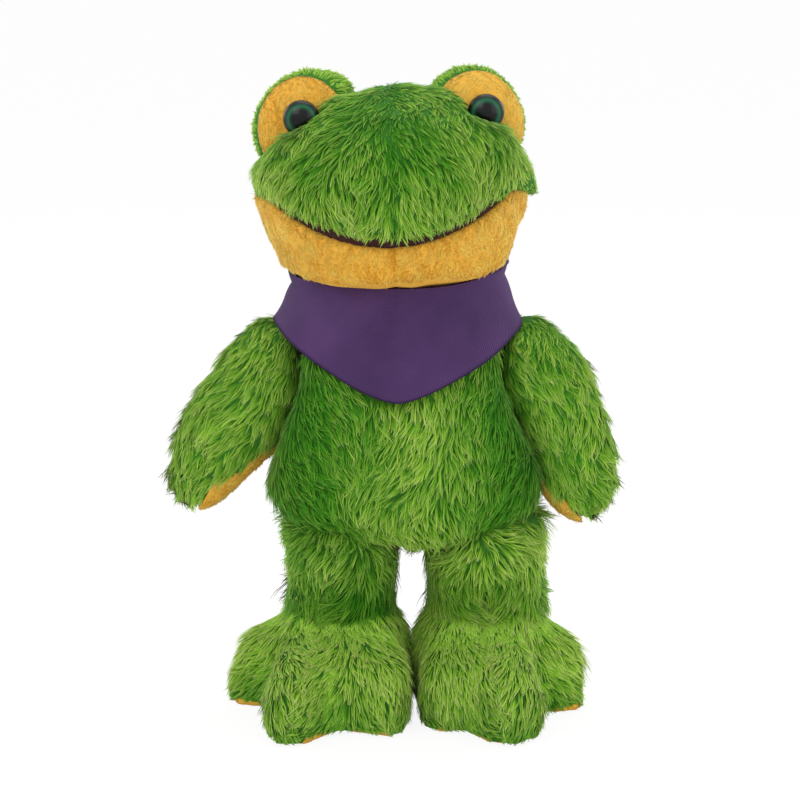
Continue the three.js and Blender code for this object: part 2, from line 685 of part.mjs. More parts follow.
function scarfPieces() {
  return [
    piece('neckerchief', scarfSolid(), 'purple', 'cloth'),
    piece('neckerchief_knot', knotSolid(), 'purple', 'cloth'),
    piece('neckerchief_tail_left', tailSolid(-1), 'purple', 'cloth'),
    piece('neckerchief_tail_right', tailSolid(1), 'purple', 'cloth'),
  ];
}

const frog = new THREE.Group();
const stance = new THREE.Group();
stance.position.x = hip.shift;
frog.add(...torsoPieces(), ...headPieces(), ...scarfPieces(), stance);
for (const [side, word] of [[-1, 'left'], [1, 'right']]) {
  frog.add(...armPieces(side, word));
  stance.add(...legPieces(side, word), ...footPieces(side, word));
}

// the middle of the whole toy's footprint goes to x = y = 0
const extent = new THREE.Box3().setFromObject(frog);
const middle = extent.getCenter(new THREE.Vector3());
frog.position.set(-middle.x, -middle.y, 0);

export default new THREE.Group().add(frog);
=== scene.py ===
import math

import bpy
import numpy as np
from mathutils import Matrix, Vector
from mathutils.bvhtree import BVHTree
from mathutils.kdtree import KDTree


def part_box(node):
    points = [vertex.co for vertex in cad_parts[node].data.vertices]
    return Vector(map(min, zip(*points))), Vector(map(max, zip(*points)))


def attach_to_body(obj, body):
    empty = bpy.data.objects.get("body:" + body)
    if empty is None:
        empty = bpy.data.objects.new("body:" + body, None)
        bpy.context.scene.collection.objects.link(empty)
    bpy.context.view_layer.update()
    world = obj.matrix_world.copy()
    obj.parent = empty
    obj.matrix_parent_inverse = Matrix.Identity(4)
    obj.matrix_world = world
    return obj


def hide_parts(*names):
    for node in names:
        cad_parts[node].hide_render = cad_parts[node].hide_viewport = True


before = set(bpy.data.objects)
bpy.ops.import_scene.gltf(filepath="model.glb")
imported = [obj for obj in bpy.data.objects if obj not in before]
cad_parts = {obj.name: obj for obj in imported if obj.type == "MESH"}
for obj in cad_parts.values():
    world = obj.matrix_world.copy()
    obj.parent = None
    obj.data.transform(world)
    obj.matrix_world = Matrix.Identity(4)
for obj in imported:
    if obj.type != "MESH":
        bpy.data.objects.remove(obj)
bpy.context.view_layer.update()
mm = 0.001
middle = Vector((3.226, 10.777, 0)) * mm  # the body's upright middle line
headMiddle = Vector((0.326, 10.777, 170.7)) * mm  # middle of the neck seam
headTilt = -0.033  # the head leans a little to the left, about the neck seam
headTurn = Matrix.Translation(headMiddle) @ Matrix.Rotation(headTilt, 4, "Y")
upright = Matrix.Translation(middle)
sides = {"left": -1, "right": 1}


# Modelling helpers

def deselectAll():
    if bpy.context.object and bpy.context.object.mode != "OBJECT":
        bpy.ops.object.mode_set(mode="OBJECT")
    bpy.ops.object.select_all(action="DESELECT")


def pick(obj):
    deselectAll()
    obj.select_set(True)
    bpy.context.view_layer.objects.active = obj


def discard(obj):
    mesh = obj.data
    bpy.data.objects.remove(obj)
    bpy.data.meshes.remove(mesh)


def modify(obj, kind, **settings):
    pick(obj)
    modifier = obj.modifiers.new(kind, kind)
    for name, value in settings.items():
        setattr(modifier, name, value)
    bpy.ops.object.modifier_apply(modifier=modifier.name)


def settle(obj):  # the place goes into the mesh
    pick(obj)
    bpy.ops.object.transform_apply(location=True, rotation=True, scale=True)


def added(operator, name, **settings):  # a new object, by one of Blender's own operators
    deselectAll()
    operator(**settings)
    obj = bpy.context.object
    obj.name = name
    return obj


def readAll(items, field, width, kind=float):  # a mesh's values as an array, a row for each item
    values = np.empty(len(items) * width, kind)
    items.foreach_get(field, values)
    return values.reshape(-1, width)


def addValue(mesh, name, values):  # one number for each point, which the shaders read
    mesh.attributes.new(name, "FLOAT", "POINT").data.foreach_set("value", values.astype(np.float32))


def movePoints(obj, change):  # change takes and gives an array of points
    points = change(readAll(obj.data.vertices, "co", 3))
    obj.data.vertices.foreach_set("co", points.astype(np.float32).ravel())
    obj.data.update()


def editWhole(obj, *steps):  # mesh operators, each on all of an object's mesh
    pick(obj)
    bpy.ops.object.mode_set(mode="EDIT")
    for operator, settings in steps:
        bpy.ops.mesh.select_all(action="SELECT")
        operator(**settings)
    bpy.ops.object.mode_set(mode="OBJECT")


def keepOrder(obj):  # a ball's faces come in another order in each run, and the draws follow them
    mesh = obj.data
    places = [tuple(vertex.co) for vertex in mesh.vertices]
    faces = []
    for face in mesh.polygons:
        corners = list(face.vertices)
        first = corners.index(min(corners))
        faces.append(corners[first:] + corners[:first])
    mesh.clear_geometry()
    mesh.from_pydata(places, [], sorted(faces))


def copyOf(name, nodes):  # the CAD nodes' meshes in one object, merged
    deselectAll()
    copies = []
    for node in nodes:
        one = bpy.data.objects.new(name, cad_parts[node].data.copy())
        bpy.context.collection.objects.link(one)
        one.select_set(True)
        copies.append(one)
    bpy.context.view_layer.objects.active = copies[0]
    if len(copies) > 1:
        bpy.ops.object.join()
    whole = copies[0]
    whole.data.materials.clear()
    editWhole(whole, (bpy.ops.mesh.remove_doubles, {"threshold": 0.02 * mm}))
    return whole


def puffed(skin, grid, rounds):  # evenly meshed, with soft rounded edges where the cloth turns in
    modify(skin, "REMESH", mode="VOXEL", voxel_size=grid)
    modify(skin, "SMOOTH", factor=0.5, iterations=rounds)


def swell(skin, distance):
    modify(skin, "DISPLACE", strength=distance, mid_level=0)


def stuffedForm(name, nodes, form):
    # a closed skin drawn over the outside of the CAD nodes, then relaxed
    target = copyOf("target", nodes)
    skin = copyOf(name, nodes)
    editWhole(skin, (bpy.ops.mesh.convex_hull, {}))
    modify(skin, "REMESH", mode="VOXEL", voxel_size=form["grid"])
    modify(skin, "SHRINKWRAP", target=target, wrap_method="PROJECT",
           use_negative_direction=True, use_positive_direction=False)
    # the points that missed go to the nearest place
    modify(skin, "SHRINKWRAP", target=target, wrap_method="NEAREST_SURFACEPOINT")
    discard(target)
    puffed(skin, form["grid"], form["relax"])
    swell(skin, -form["inset"])
    return skin


def pull(obj, turn, spots):
    # like a soft grab brush: (place, size, move) of each pull, in millimetres
    def moved(points):
        total = np.zeros_like(points)
        for place, size, move in spots:
            middleOf = np.array(turn @ (Vector(place) * mm))
            away = np.linalg.norm(points - middleOf, axis=1) / (size * mm)
            total += np.exp(-away ** 2)[:, None] * np.array(move) * mm
        return points + total

    movePoints(obj, moved)


def cut(obj, cutter, operation):
    modify(obj, "BOOLEAN", object=cutter, operation=operation, solver="EXACT")


def attach(piece, body, slot, material, *nodes):
    # its finish, the body that it rides on and the CAD nodes that it stands for
    piece.data.materials.append(material)
    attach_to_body(piece, body)
    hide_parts(*nodes)


def dress(form, body, slot, *nodes, fill=None):  # fill is given for a padded piece; it is not used
    pick(form)
    bpy.ops.object.shade_smooth()
    attach(form, body, slot, backings[slot], *nodes)


# Shader helpers

class Wire:  # a socket whose sums are written as Python expressions
    def __init__(self, shade, socket):
        self.shade = shade
        self.socket = socket

    def sum(self, operation, *values):
        node = self.shade.add("ShaderNodeMath", {"operation": operation}, dict(enumerate(values)))
        return Wire(self.shade, node.outputs[0])

    def __add__(self, other):
        return self.sum("ADD", self, other)

    def __sub__(self, other):
        return self.sum("SUBTRACT", self, other)

    def __mul__(self, other):
        return self.sum("MULTIPLY", self, other)

    def sine(self):
        return self.sum("SINE", self)

    def clamp(self, low, high):
        return self.sum("MINIMUM", self.sum("MAXIMUM", self, low), high)


class Shade:  # one material, or the world, and its nodes
    def __init__(self, name, owner=None):
        self.material = owner or bpy.data.materials.new(name)
        self.material.use_nodes = True
        self.tree = self.material.node_tree
        self.tree.nodes.clear()

    def add(self, kind, settings=None, sockets=None):
        node = self.tree.nodes.new(kind)
        for name, value in (settings or {}).items():
            if name == "stops":
                ramp = node.color_ramp
                while len(ramp.elements) < len(value):
                    ramp.elements.new(0.5)
                for stop, (place, colour) in zip(ramp.elements, value):
                    stop.position = place
                    stop.color = colour
            else:
                setattr(node, name, value)
        for name, value in (sockets or {}).items():
            if isinstance(value, Wire):
                self.tree.links.new(value.socket, node.inputs[name])
            else:
                node.inputs[name].default_value = value
        return node

    def wire(self, kind, output, settings=None, sockets=None):
        return Wire(self, self.add(kind, settings, sockets).outputs[output])

    def value(self, name):  # one number of each point
        return self.wire("ShaderNodeAttribute", "Fac", {"attribute_name": name})

    def noise(self, place, scale, detail, roughness):
        sockets = {"Vector": place, "Scale": scale, "Detail": detail, "Roughness": roughness}
        return self.wire("ShaderNodeTexNoise", "Fac", None, sockets)

    def bump(self, strength, distance, height):
        sockets = {"Strength": strength, "Distance": distance, "Height": height}
        return self.wire("ShaderNodeBump", "Normal", None, sockets)

    def mix(self, factor, first, second):
        return self.wire("ShaderNodeMix", 2, {"data_type": "RGBA"}, {0: factor, 6: first, 7: second})

    def finish(self, **sockets):
        named = {name.replace("_", " "): value for name, value in sockets.items()}
        surface = self.wire("ShaderNodeBsdfPrincipled", "BSDF", None, named)
        self.add("ShaderNodeOutputMaterial", None, {"Surface": surface})
        return self.material


def paint(code):  # an RGB code as the shader's own colour
    shares = [int(code[k:k + 2], 16) / 255 for k in (0, 2, 4)]
    return (*[c / 12.92 if c <= 0.04045 else ((c + 0.055) / 1.055) ** 2.4 for c in shares], 1)


def pileMaterial(name, colours):
    # locks: dark at the root as painted shade deep in the pile, and pale at the tip as painted light on
    # the tips; each lock has its own tint
    shade = Shade(name)
    reach = shade.value("reach")
    tint = shade.value("tint")
    ramps = []
    for family in ("deep", "pale"):
        stops = [(place, paint(code)) for place, code in zip(colours["places"], colours[family])]
        ramps.append(shade.wire("ShaderNodeValToRGB", "Color", {"stops": stops}, {"Fac": reach}))
    colour = shade.mix(tint, *ramps)
    return shade.finish(Base_Color=colour, Roughness=colours["roughness"], Specular_IOR_Level=0.12,
                        Sheen_Weight=colours["sheen"], Sheen_Roughness=0.45,
                        Sheen_Tint=paint(colours["rim"]))


def backingMaterial(name, dark, light, scale, roughness):
    # a fine mottled ground, such as shows between the locks
    shade = Shade(name)
    place = shade.wire("ShaderNodeTexCoord", "Object")
    grain = shade.noise(place, scale, 3.0, 0.7)
    colour = shade.mix(grain, paint(dark), paint(light))
    bump = shade.bump(0.6, 0.6 * mm, grain)
    return shade.finish(Base_Color=colour, Roughness=roughness, Normal=bump)


greenPile = pileMaterial("greenPile", {
    "places": (0, 0.35, 0.75, 1), "roughness": 0.75, "sheen": 0.22, "rim": "E9F2B0",
    "deep": ("164803", "266A08", "3E8E12", "7CB63E"),
    "pale": ("3A7A12", "6CA824", "A2CA48", "DEE996"),
})
yellowPile = pileMaterial("yellowPile", {
    "places": (0, 0.35, 0.75, 1), "roughness": 0.8, "sheen": 0.2, "rim": "FFF2C8",
    "deep": ("A8660C", "D08A1C", "E49F2A", "F4B63C"),
    "pale": ("C08E2C", "E6BC48", "F6D468", "FCE890"),
})
backings = {
    "green_pile": backingMaterial("greenBacking", "1F5C06", "367A14", 1400, 0.95),
    "yellow_pile": backingMaterial("yellowBacking", "DCA030", "F4BC48", 1600, 0.95),
    "mouth_cloth": backingMaterial("mouthCloth", "260D0A", "401A13", 1800, 0.9),
}

print("materials ready")


# Pile: combed locks that grow from a skin

def waves(points, size, seed):  # a smooth drift from about -1 to 1 over places of that size
    dice = np.random.default_rng(seed)
    total = np.zeros(len(points))
    for _ in range(7):
        way = dice.normal(size=3)
        way *= (0.6 + 0.8 * dice.random()) * math.tau / size / np.linalg.norm(way)
        total += np.sin(points @ way + dice.random() * math.tau)
    return total / 2.6  # about what seven waves together reach


def unit(vectors):
    return vectors / np.maximum(np.linalg.norm(vectors, axis=1, keepdims=True), 1e-9)


growth = {
    "tries": 2.6, "cell": 0.94,  # tried places for each cell, and a cell's width in spacings
    "cellRow": 4001,  # more cells than a skin has along one axis
    "crestReach": 0.75, "crestMean": 0.4,  # a crest's width in tufts; the crest at which the painted shade leaves the tint as it is
    "crestLength": (0.86, 0.28), "crestLift": (0.75, 0.5),  # at a tuft's edge, and its middle's more
    "ownStray": 0.3, "ownTint": 0.4,  # a lock's own share, beside its tuft's
    "liftStray": 0.15, "widthStray": 0.2,
    "bendTurn": 4.2, "gatherPower": 1.5,  # how the bend and the lean grow along a lock
    "flatness": 0.45, "faceLean": 0.2, "edgeRound": 0.3,  # a lock's cross-section
    "overGap": 0.5 * mm, "floorGap": 0.3 * mm,  # from a lock to a form under it and to the floor
    "partFaces": 199000,  # the most triangles in one piece
}


def rootsOn(skin, spacing, seed, wanted):
    # places spread over the skin, no two in one cell, with the skin's normals there
    mesh = skin.data
    mesh.calc_loop_triangles()
    places = readAll(mesh.vertices, "co", 3)
    normals = readAll(mesh.vertices, "normal", 3)
    corners = readAll(mesh.loop_triangles, "vertices", 3, int)
    a, b, c = (places[corners[:, k]] for k in range(3))
    facing = np.cross(b - a, c - a)
    area = np.linalg.norm(facing, axis=1) / 2 * wanted(a, unit(facing))
    dice = np.random.default_rng(seed)
    count = int(area.sum() / spacing ** 2 * growth["tries"])
    chosen = np.searchsorted(np.cumsum(area) / area.sum(), dice.random(count))
    chosen = np.minimum(chosen, len(area) - 1)
    first, second = dice.random((2, count))
    flip = first + second > 1
    first[flip], second[flip] = 1 - first[flip], 1 - second[flip]
    weights = np.stack([1 - first - second, first, second], 1)[:, :, None]
    at = (places[corners[chosen]] * weights).sum(1)
    out = unit((normals[corners[chosen]] * weights).sum(1))
    cells = np.floor(at / (spacing * growth["cell"])).astype(np.int64)
    key = (cells[:, 0] * growth["cellRow"] + cells[:, 1]) * growth["cellRow"] + cells[:, 2]
    _, only = np.unique(key, return_index=True)
    only.sort()
    inside = wanted(at[only], out[only])
    return at[only][inside], out[only][inside]


def treeOf(form):
    mesh = form.data
    return BVHTree.FromPolygons([v.co for v in mesh.vertices], [p.vertices for p in mesh.polygons])


def outsideOf(form, margin, points):  # which places lie no deeper than the margin inside a form
    tree = treeOf(form)
    free = np.ones(len(points), bool)
    for index, point in enumerate(points):
        near, way, _, _ = tree.find_nearest(point)
        if (Vector(point) - near).dot(way) < -margin:
            way = tree.ray_cast(point, (0, 0, 1))[1]
            free[index] = way is None or way.z < 0
    return free


def laidOver(form, points, gap):  # locks that would dive into a form lie on it
    tree = treeOf(form)
    rings = [slice(first, first + 3) for first in range(1, points.shape[1] - 1, 3)]
    for lock in points:
        for ring in (*rings, slice(-1, None)):
            spot = Vector(lock[ring].mean(0))
            near, way, _, _ = tree.find_nearest(spot)
            short = gap - (spot - near).dot(way)
            if short > 0:
                lock[ring] += np.array(way * short)


def lockFaces(rings):  # the triangles of one lock: a root, rings of three points and a tip
    faces = [(0, 1 + (step + 1) % 3, 1 + step) for step in range(3)]
    for start in range(1, 3 * rings - 2, 3):
        for step in range(3):
            here, there = start + step, start + (step + 1) % 3
            faces += [(here, there, there + 3), (here, there + 3, here + 3)]
    top, tip = 3 * rings - 2, 3 * rings + 1
    return np.array(faces + [(top + step, top + (step + 1) % 3, tip) for step in range(3)])


def growPile(name, skin, body, pile, comb, shadeOf, wanted, lengthOf=None, under=(), over=None):
    roots, out = rootsOn(skin, pile["spacing"], pile["seed"], wanted)
    for form, margin in under:  # nothing grows where another form hides it
        free = outsideOf(form, margin, roots)
        roots, out = roots[free], out[free]
    dice = np.random.default_rng(pile["seed"] + 1)
    count = len(roots)

    # each lock belongs to the tuft whose middle is nearest, and follows it
    tufts = max(1, int(count * (pile["spacing"] / pile["tuft"]) ** 2))
    middles = dice.choice(count, tufts, replace=False)
    tree = KDTree(tufts)
    for index, which in enumerate(middles):
        tree.insert(roots[which], index)
    tree.balance()
    mine = np.array([tree.find(root)[1] for root in roots])
    tuft = middles[mine]
    apart = roots[tuft] - roots
    apart -= out * (apart * out).sum(1, keepdims=True)
    crestReach = growth["crestReach"] * pile["tuft"]
    crest = np.clip(1 - np.linalg.norm(apart, axis=1) / crestReach, 0, 1)

    def byTuft():  # one draw for each tuft, which all its locks share
        return dice.normal(size=tufts)[mine]

    def byLock():
        return dice.normal(size=count)

    flow = comb(roots, out)
    flow = unit(flow - out * (flow * out).sum(1, keepdims=True))
    turn = (pile["drift"] * waves(roots[tuft], pile["driftSize"], pile["seed"] + 2)
            + pile["ripple"] * waves(roots[tuft], pile["rippleSize"], pile["seed"] + 3)
            + pile["stray"] * byTuft() + growth["ownStray"] * pile["stray"] * byLock())
    across = np.cross(out, flow)
    along = flow * np.cos(turn)[:, None] + across * np.sin(turn)[:, None]
    side = np.cross(out, along)
    edge, more = growth["crestLength"]
    length = pile["length"] * (1 + pile["uneven"] * byTuft()).clip(0.5, 1.5)
    length *= edge + more * crest
    if lengthOf is not None:
        length = length * lengthOf(roots)
    edge, more = growth["crestLift"]
    lift = pile["lift"] * (edge + more * crest) * (1 + growth["liftStray"] * byLock()).clip(0.4, 1.8)
    bend = pile["curl"] * byTuft() * length
    width = pile["width"] * (1 + growth["widthStray"] * byLock()).clip(0.5, 1.6)
    lean = apart * pile["gather"]

    faceOut = unit(out + growth["faceLean"] * along)
    points = []
    normals = []
    for share, wide in pile["stations"]:
        rise = length * lift * (1 - (1 - share) ** 2)
        ahead = length * np.sqrt(np.maximum(1 - lift ** 2, 0.05)) * share
        spot = (roots - out * pile["sink"] + out * rise[:, None] + along * ahead[:, None]
                + side * (bend * math.sin(share * growth["bendTurn"]))[:, None]
                + lean * share ** growth["gatherPower"])
        for step in range(3 if wide else 1):
            angle = math.tau * step / 3 + math.pi / 2
            spoke = side * math.cos(angle) + faceOut * growth["flatness"] * math.sin(angle)
            points.append(spot + (width * wide)[:, None] * spoke)
            normals.append(unit(out + growth["edgeRound"] * spoke * bool(wide)
                                - pile["round"] * apart / pile["tuft"]))
    points = np.stack(points, 1)
    normals = np.stack(normals, 1)
    if over:
        laidOver(over, points, growth["overGap"])
    points[:, :, 2] = np.maximum(points[:, :, 2], growth["floorGap"])  # the floor presses it flat

    rings = pile["stations"][1:-1]
    faces = lockFaces(len(rings))
    reach = [0] + [share for share, _ in rings for _ in range(3)] + [1]
    # painted light on each tuft's crest and painted shade at its edges
    tint = shadeOf(roots, out) + pile["crestPaintedShade"] * (crest - growth["crestMean"])
    tint = (tint + pile["tintStray"] * byTuft()
            + growth["ownTint"] * pile["tintStray"] * byLock()).clip(0, 1)
    parts = math.ceil(count / (growth["partFaces"] // len(faces)))
    for part in range(parts):
        some = slice(part, None, parts)
        partName = f"{name}{part + 1}" if parts > 1 else name
        locks = lockMesh(partName, points[some], normals[some], faces, reach, tint[some])
        locks.data.materials.append(pile["material"])
        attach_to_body(locks, body)
    print(name, count, "locks,", count * len(faces), "triangles")


def lockMesh(name, points, normals, faces, reach, tint):
    locks, perLock = points.shape[:2]
    mesh = bpy.data.meshes.new(name)
    mesh.vertices.add(locks * perLock)
    mesh.vertices.foreach_set("co", points.astype(np.float32).ravel())
    index = (faces[None] + (np.arange(locks) * perLock)[:, None, None]).ravel()
    mesh.loops.add(len(index))
    mesh.loops.foreach_set("vertex_index", index.astype(np.int32))
    mesh.polygons.add(len(index) // 3)
    mesh.polygons.foreach_set("loop_start", np.arange(0, len(index), 3, dtype=np.int32))
    mesh.polygons.foreach_set("use_smooth", np.ones(len(index) // 3, bool))
    mesh.update(calc_edges=True)
    mesh.normals_split_custom_set_from_vertices(normals.reshape(-1, 3))
    reachAll = np.tile(np.array(reach, np.float32), locks)
    tintAll = np.repeat(tint.astype(np.float32), perLock)
    addValue(mesh, "reach", reachAll)
    addValue(mesh, "tint", tintAll)
    # the map follows the two values, so a lock's faces share one narrow strip of colour
    u = 0.01 + 0.97 * tintAll[index] + index % perLock % 3 * 0.004
    v = 0.01 + 0.98 * reachAll[index]
    layer = mesh.uv_layers.new(name="OFBake")
    layer.data.foreach_set("uv", np.stack([u, v], 1).astype(np.float32).ravel())
    obj = bpy.data.objects.new(name, mesh)
    bpy.context.collection.objects.link(obj)
    return obj


longPile = {
    "slot": "green_pile", "material": greenPile, "spacing": 0.915 * mm, "width": 0.235 * mm,
    "length": 8.4 * mm, "lift": 0.16, "uneven": 0.18, "curl": 0.06, "stray": 0.08, "sink": 0.4 * mm,
    "drift": 0.4, "driftSize": 34 * mm, "ripple": 0.3, "rippleSize": 8 * mm, "tuft": 1.6 * mm,
    "gather": 0.4, "round": 0.2, "crestPaintedShade": 0.22, "tintStray": 0.17,
    "stations": ((0, 0), (0.36, 1), (0.7, 0.8), (1, 0)),  # places along a lock and widths there
}
shortPile = {
    "slot": "yellow_pile", "material": yellowPile, "spacing": 0.6 * mm, "width": 0.2 * mm,
    "length": 1.9 * mm, "lift": 0.26, "uneven": 0.2, "curl": 0.03, "stray": 0.2, "sink": 0.2 * mm,
    "drift": 0.6, "driftSize": 16 * mm, "ripple": 0.35, "rippleSize": 5 * mm, "tuft": 1.2 * mm,
    "gather": 0.25, "round": 0.05, "crestPaintedShade": 0.3, "tintStray": 0.14,
    "stations": ((0, 0), (0.35, 1), (1, 0)),
}


def local(points):  # millimetres from the body's middle line
    return (points - np.array(middle)) / mm


def headLocal(points):  # millimetres from the neck seam, with the head upright
    turned = np.array(headTurn.inverted())
    return (points @ turned[:3, :3].T + turned[:3, 3]) / mm


def hump(value, centre, width):
    return np.exp(-((value - centre) / width) ** 2)


scarf = {
    "topZ": 172, "shift": -1, "leftRise": 1.3, "rightRise": 5.9, "topHalfWidth": 43, "topFront": 39,
    "hemHalfWidth": 49, "hemFront": 44.5, "flare": 2.8, "hemRoundness": 1.46, "hemZ": 153.8,
    "hemTilt": 0.6, "backHemZ": 152, "pointZ": 129, "backReach": 33.5, "pointFront": 45,
    "rollIn": 5, "rollShare": 0.08,  # the top edge is rolled in under the chin
    "drawIn": 1.8, "drawShare": 0.3,  # the cloth is drawn in below its corners
    "thickness": 0.9, "columns": 192, "rows": 40, "hemSeam": 0.9,
    "mapWay": 44,  # millimetres of cloth to a radian of the way round
}


def scarfHem(turn):  # height of the hem all round; turn 0 is the front
    sine, cosine = np.abs(np.sin(turn)), np.cos(turn)
    endZ = np.where(cosine > 0, scarf["pointZ"], scarf["backHemZ"])
    hemZ = scarf["hemZ"] - scarf["hemTilt"] * np.sin(turn)
    return endZ + (hemZ - endZ) * sine ** scarf["hemRoundness"]


def scarfPoints(turn, drop):  # drop runs from the top edge to the hem
    sine, cosine = np.sin(turn), np.cos(turn)
    front = np.clip(cosine, 0, 1)
    sideRise = np.where(sine > 0, scarf["rightRise"], scarf["leftRise"])
    topZ = scarf["topZ"] + sideRise * np.abs(sine) ** 3
    z = topZ + (scarfHem(turn) - topZ) * np.clip(drop * 1.08 - 0.08, 0, 1)
    topReach = np.where(cosine > 0, scarf["topFront"], scarf["backReach"])
    frontReach = scarf["hemFront"] + (scarf["pointFront"] - scarf["hemFront"]) * front ** 2
    hemReach = np.where(cosine > 0, frontReach, scarf["backReach"])
    drawn = np.clip(1 - np.abs(drop - scarf["drawShare"]) / scarf["drawShare"], 0, 1) ** 2
    halfWidth = (scarf["topHalfWidth"] - scarf["drawIn"] * drawn
                 + (scarf["hemHalfWidth"] - scarf["topHalfWidth"]) * drop ** scarf["flare"])
    reach = topReach + (hemReach - topReach) * drop ** 0.9
    reach -= scarf["rollIn"] * front * np.clip(1 - drop / scarf["rollShare"], 0, 1) ** 1.5
    folds = (1.3 * np.sin(turn * 3 + 0.6 + 2.2 * drop) * np.sin(math.pi * drop)
             + 0.7 * np.sin(turn * 7 - 1.1 - 3 * drop) * drop) * front
    x = scarf["shift"] + (halfWidth + folds) * sine
    y = -(reach + folds) * cosine
    return np.stack([x, y, z], 1) * mm + np.array([middle.x, middle.y, 0])


def underScarf(points, margin):  # places that the cloth lies over
    at = local(points)
    x = at[:, 0] - scarf["shift"]
    turn = np.arctan2((x + 2) / scarf["hemHalfWidth"], -at[:, 1] / scarf["hemFront"])
    near = np.hypot(x + 1, at[:, 1]) < scarf["hemHalfWidth"] + 3
    return near & (at[:, 2] > scarfHem(turn) + margin)


# Head
head = {
    "form": {"grid": 3 * mm, "relax": 6, "inset": 1.6 * mm},
    "mouthRise": 19.3, "cornerRise": 14, "cornerX": 44, "lipEndX": 46,
    "cutFrontY": -80, "cutBackY": 7, "cutHalfWidth": 75,
    # each cut's height over the mouth line and its depth, the part's grid and how far it swells
    "crown": {"edge": 3.4, "depth": 60, "grid": 1.6 * mm, "swell": 0},
    "jaw": {"edge": -1.6, "depth": 60, "grid": 1.2 * mm, "swell": 0.9 * mm},
    "lining": {"edge": 6.5, "depth": 9, "grid": 1.2 * mm, "swell": -1.4 * mm},
    "chin": {"spread": 0.13, "z": 1, "height": 8, "backY": 12},
    "chinSeam": {"x": 0.6, "width": 1.6, "frontY": -20, "depth": 1.1 * mm},
    "pulls": (
        ((44, -20, 13), 16, (2.8, -0.8, 0)), ((40, -18, 4), 13, (2, -1, -1.6)),
        ((28, -30, 2), 13, (0, -0.8, -1.8)), ((-36, -22, 61), 11, (0, -1.6, 4)),
        ((37, -22, 61), 12, (0, -1.6, 4.6)), ((46, -18, 56), 9, (0, -1, 2)),
        ((-22, -10, 69), 12, (-1, -1, 3.4)), ((21, -10, 69), 12, (1, -1, 3.4)),
        ((0, -4, 76), 14, (0, 0, 1.2)), ((53, -6, 27), 8, (3, 0, 0)),
    ),
    "crownPulls": (((53, -4, 37), 9, (4.8, 0, -3.4)), ((-52, -4, 36), 9, (-0.6, 0, -2.6))),
    "mound": {"x": 33.4, "y": 3, "z": 60.6, "halfWidth": 21, "halfDepth": 20, "halfHeight": 21.5,
              "leanShare": 0.15, "inset": 2.2, "clear": 0.8},
    "moundPulls": {
        "left": (((-17, 3, 74), 11, (2.6, 0, 2)), ((-34, 3, 83), 13, (0, 0, 0.8))),
        "right": (((42, 3, 82), 13, (0.6, 0, 1)),),
    },
    "patch": {"left": (-0.8, 17.2), "right": (0.8, 18.2),  # shift and half width
              "halfHeight": 19.8, "rise": -1.1, "swell": 1.5 * mm, "edge": -0.3, "frontY": -6.5,
              "cutY": -16, "cutHalfDepth": 20},
}


def mouthLine(x):  # height of the mouth line, which rises to the corners and then stays level
    rise = np.minimum((x / head["cornerX"]) ** 2, 1.04)
    return head["mouthRise"] + head["cornerRise"] * rise


def aboveMouth(at):
    return at[:, 2] - mouthLine(at[:, 0])


def mouthCutter(edge, depth):
    # a block along Y whose top follows the mouth line; its gap closes towards the corners
    block = added(bpy.ops.mesh.primitive_grid_add, "cutter", x_subdivisions=40, y_subdivisions=1,
                  size=1)

    def bendTo(points):
        x = points[:, 0] * 2 * head["cutHalfWidth"]
        y = head["cutFrontY"] + (points[:, 1] + 0.5) * (head["cutBackY"] - head["cutFrontY"])
        taper = np.clip(1 - (x / head["lipEndX"]) ** 2, 0, 1) ** 0.4
        return np.stack([x, y, mouthLine(x) + edge * taper - depth], 1) * mm

    movePoints(block, bendTo)
    upwards = {"value": (0, 0, depth * mm)}
    editWhole(block, (bpy.ops.mesh.extrude_region_move, {"TRANSFORM_OT_translate": upwards}),
              (bpy.ops.mesh.normals_make_consistent, {"inside": False}))
    block.data.transform(headTurn)
    return block


def spreadChin(points):  # the filled chin rests on the cloth and bulges over it
    chin = head["chin"]
    at = headLocal(points)
    grow = 1 + chin["spread"] * hump(at[:, 2], chin["z"], chin["height"]) * (at[:, 1] < chin["backY"])
    axis = np.array(headMiddle)[:2]
    return np.column_stack([axis + (points[:, :2] - axis) * grow[:, None], points[:, 2]])


headForm = stuffedForm("headForm", ["head_cover", "jaw_cover", "head_stuffing"], head["form"])
pull(headForm, headTurn, head["pulls"])
movePoints(headForm, spreadChin)
modify(headForm, "SUBSURF", levels=1, render_levels=1)


def headPart(name, operation, shape):  # what a cut along the mouth line leaves of the head
    cutter = mouthCutter(shape["edge"], shape["depth"])
    part = bpy.data.objects.new(name, headForm.data.copy())
    bpy.context.collection.objects.link(part)
    cut(part, cutter, operation)
    discard(cutter)
    puffed(part, shape["grid"], 4)
    if shape["swell"]:
        swell(part, shape["swell"])
    return part


def creased(points):  # the seam down the middle of the chin
    seam = head["chinSeam"]
    at = headLocal(points)
    share = hump(at[:, 0], seam["x"], seam["width"]) * (at[:, 1] < seam["frontY"])
    return points + np.outer(share, (0, seam["depth"], 0))


crown = headPart("crownForm", "DIFFERENCE", head["crown"])
jaw = headPart("jawForm", "INTERSECT", head["jaw"])
lining = headPart("mouthLining", "INTERSECT", head["lining"])
movePoints(jaw, creased)
pull(crown, headTurn, head["crownPulls"])
dress(crown, "head", "green_pile", "head_cover", "head_stuffing", fill=0.85)
dress(jaw, "head", "yellow_pile", "jaw_cover", fill=0.8)
dress(lining, "head", "mouth_cloth", "mouth_lining")
print("head forms ready")


def inHead(x, y, z):  # a place over the neck seam, in millimetres
    return headTurn @ Matrix.Translation(Vector((x, y, z)) * mm)


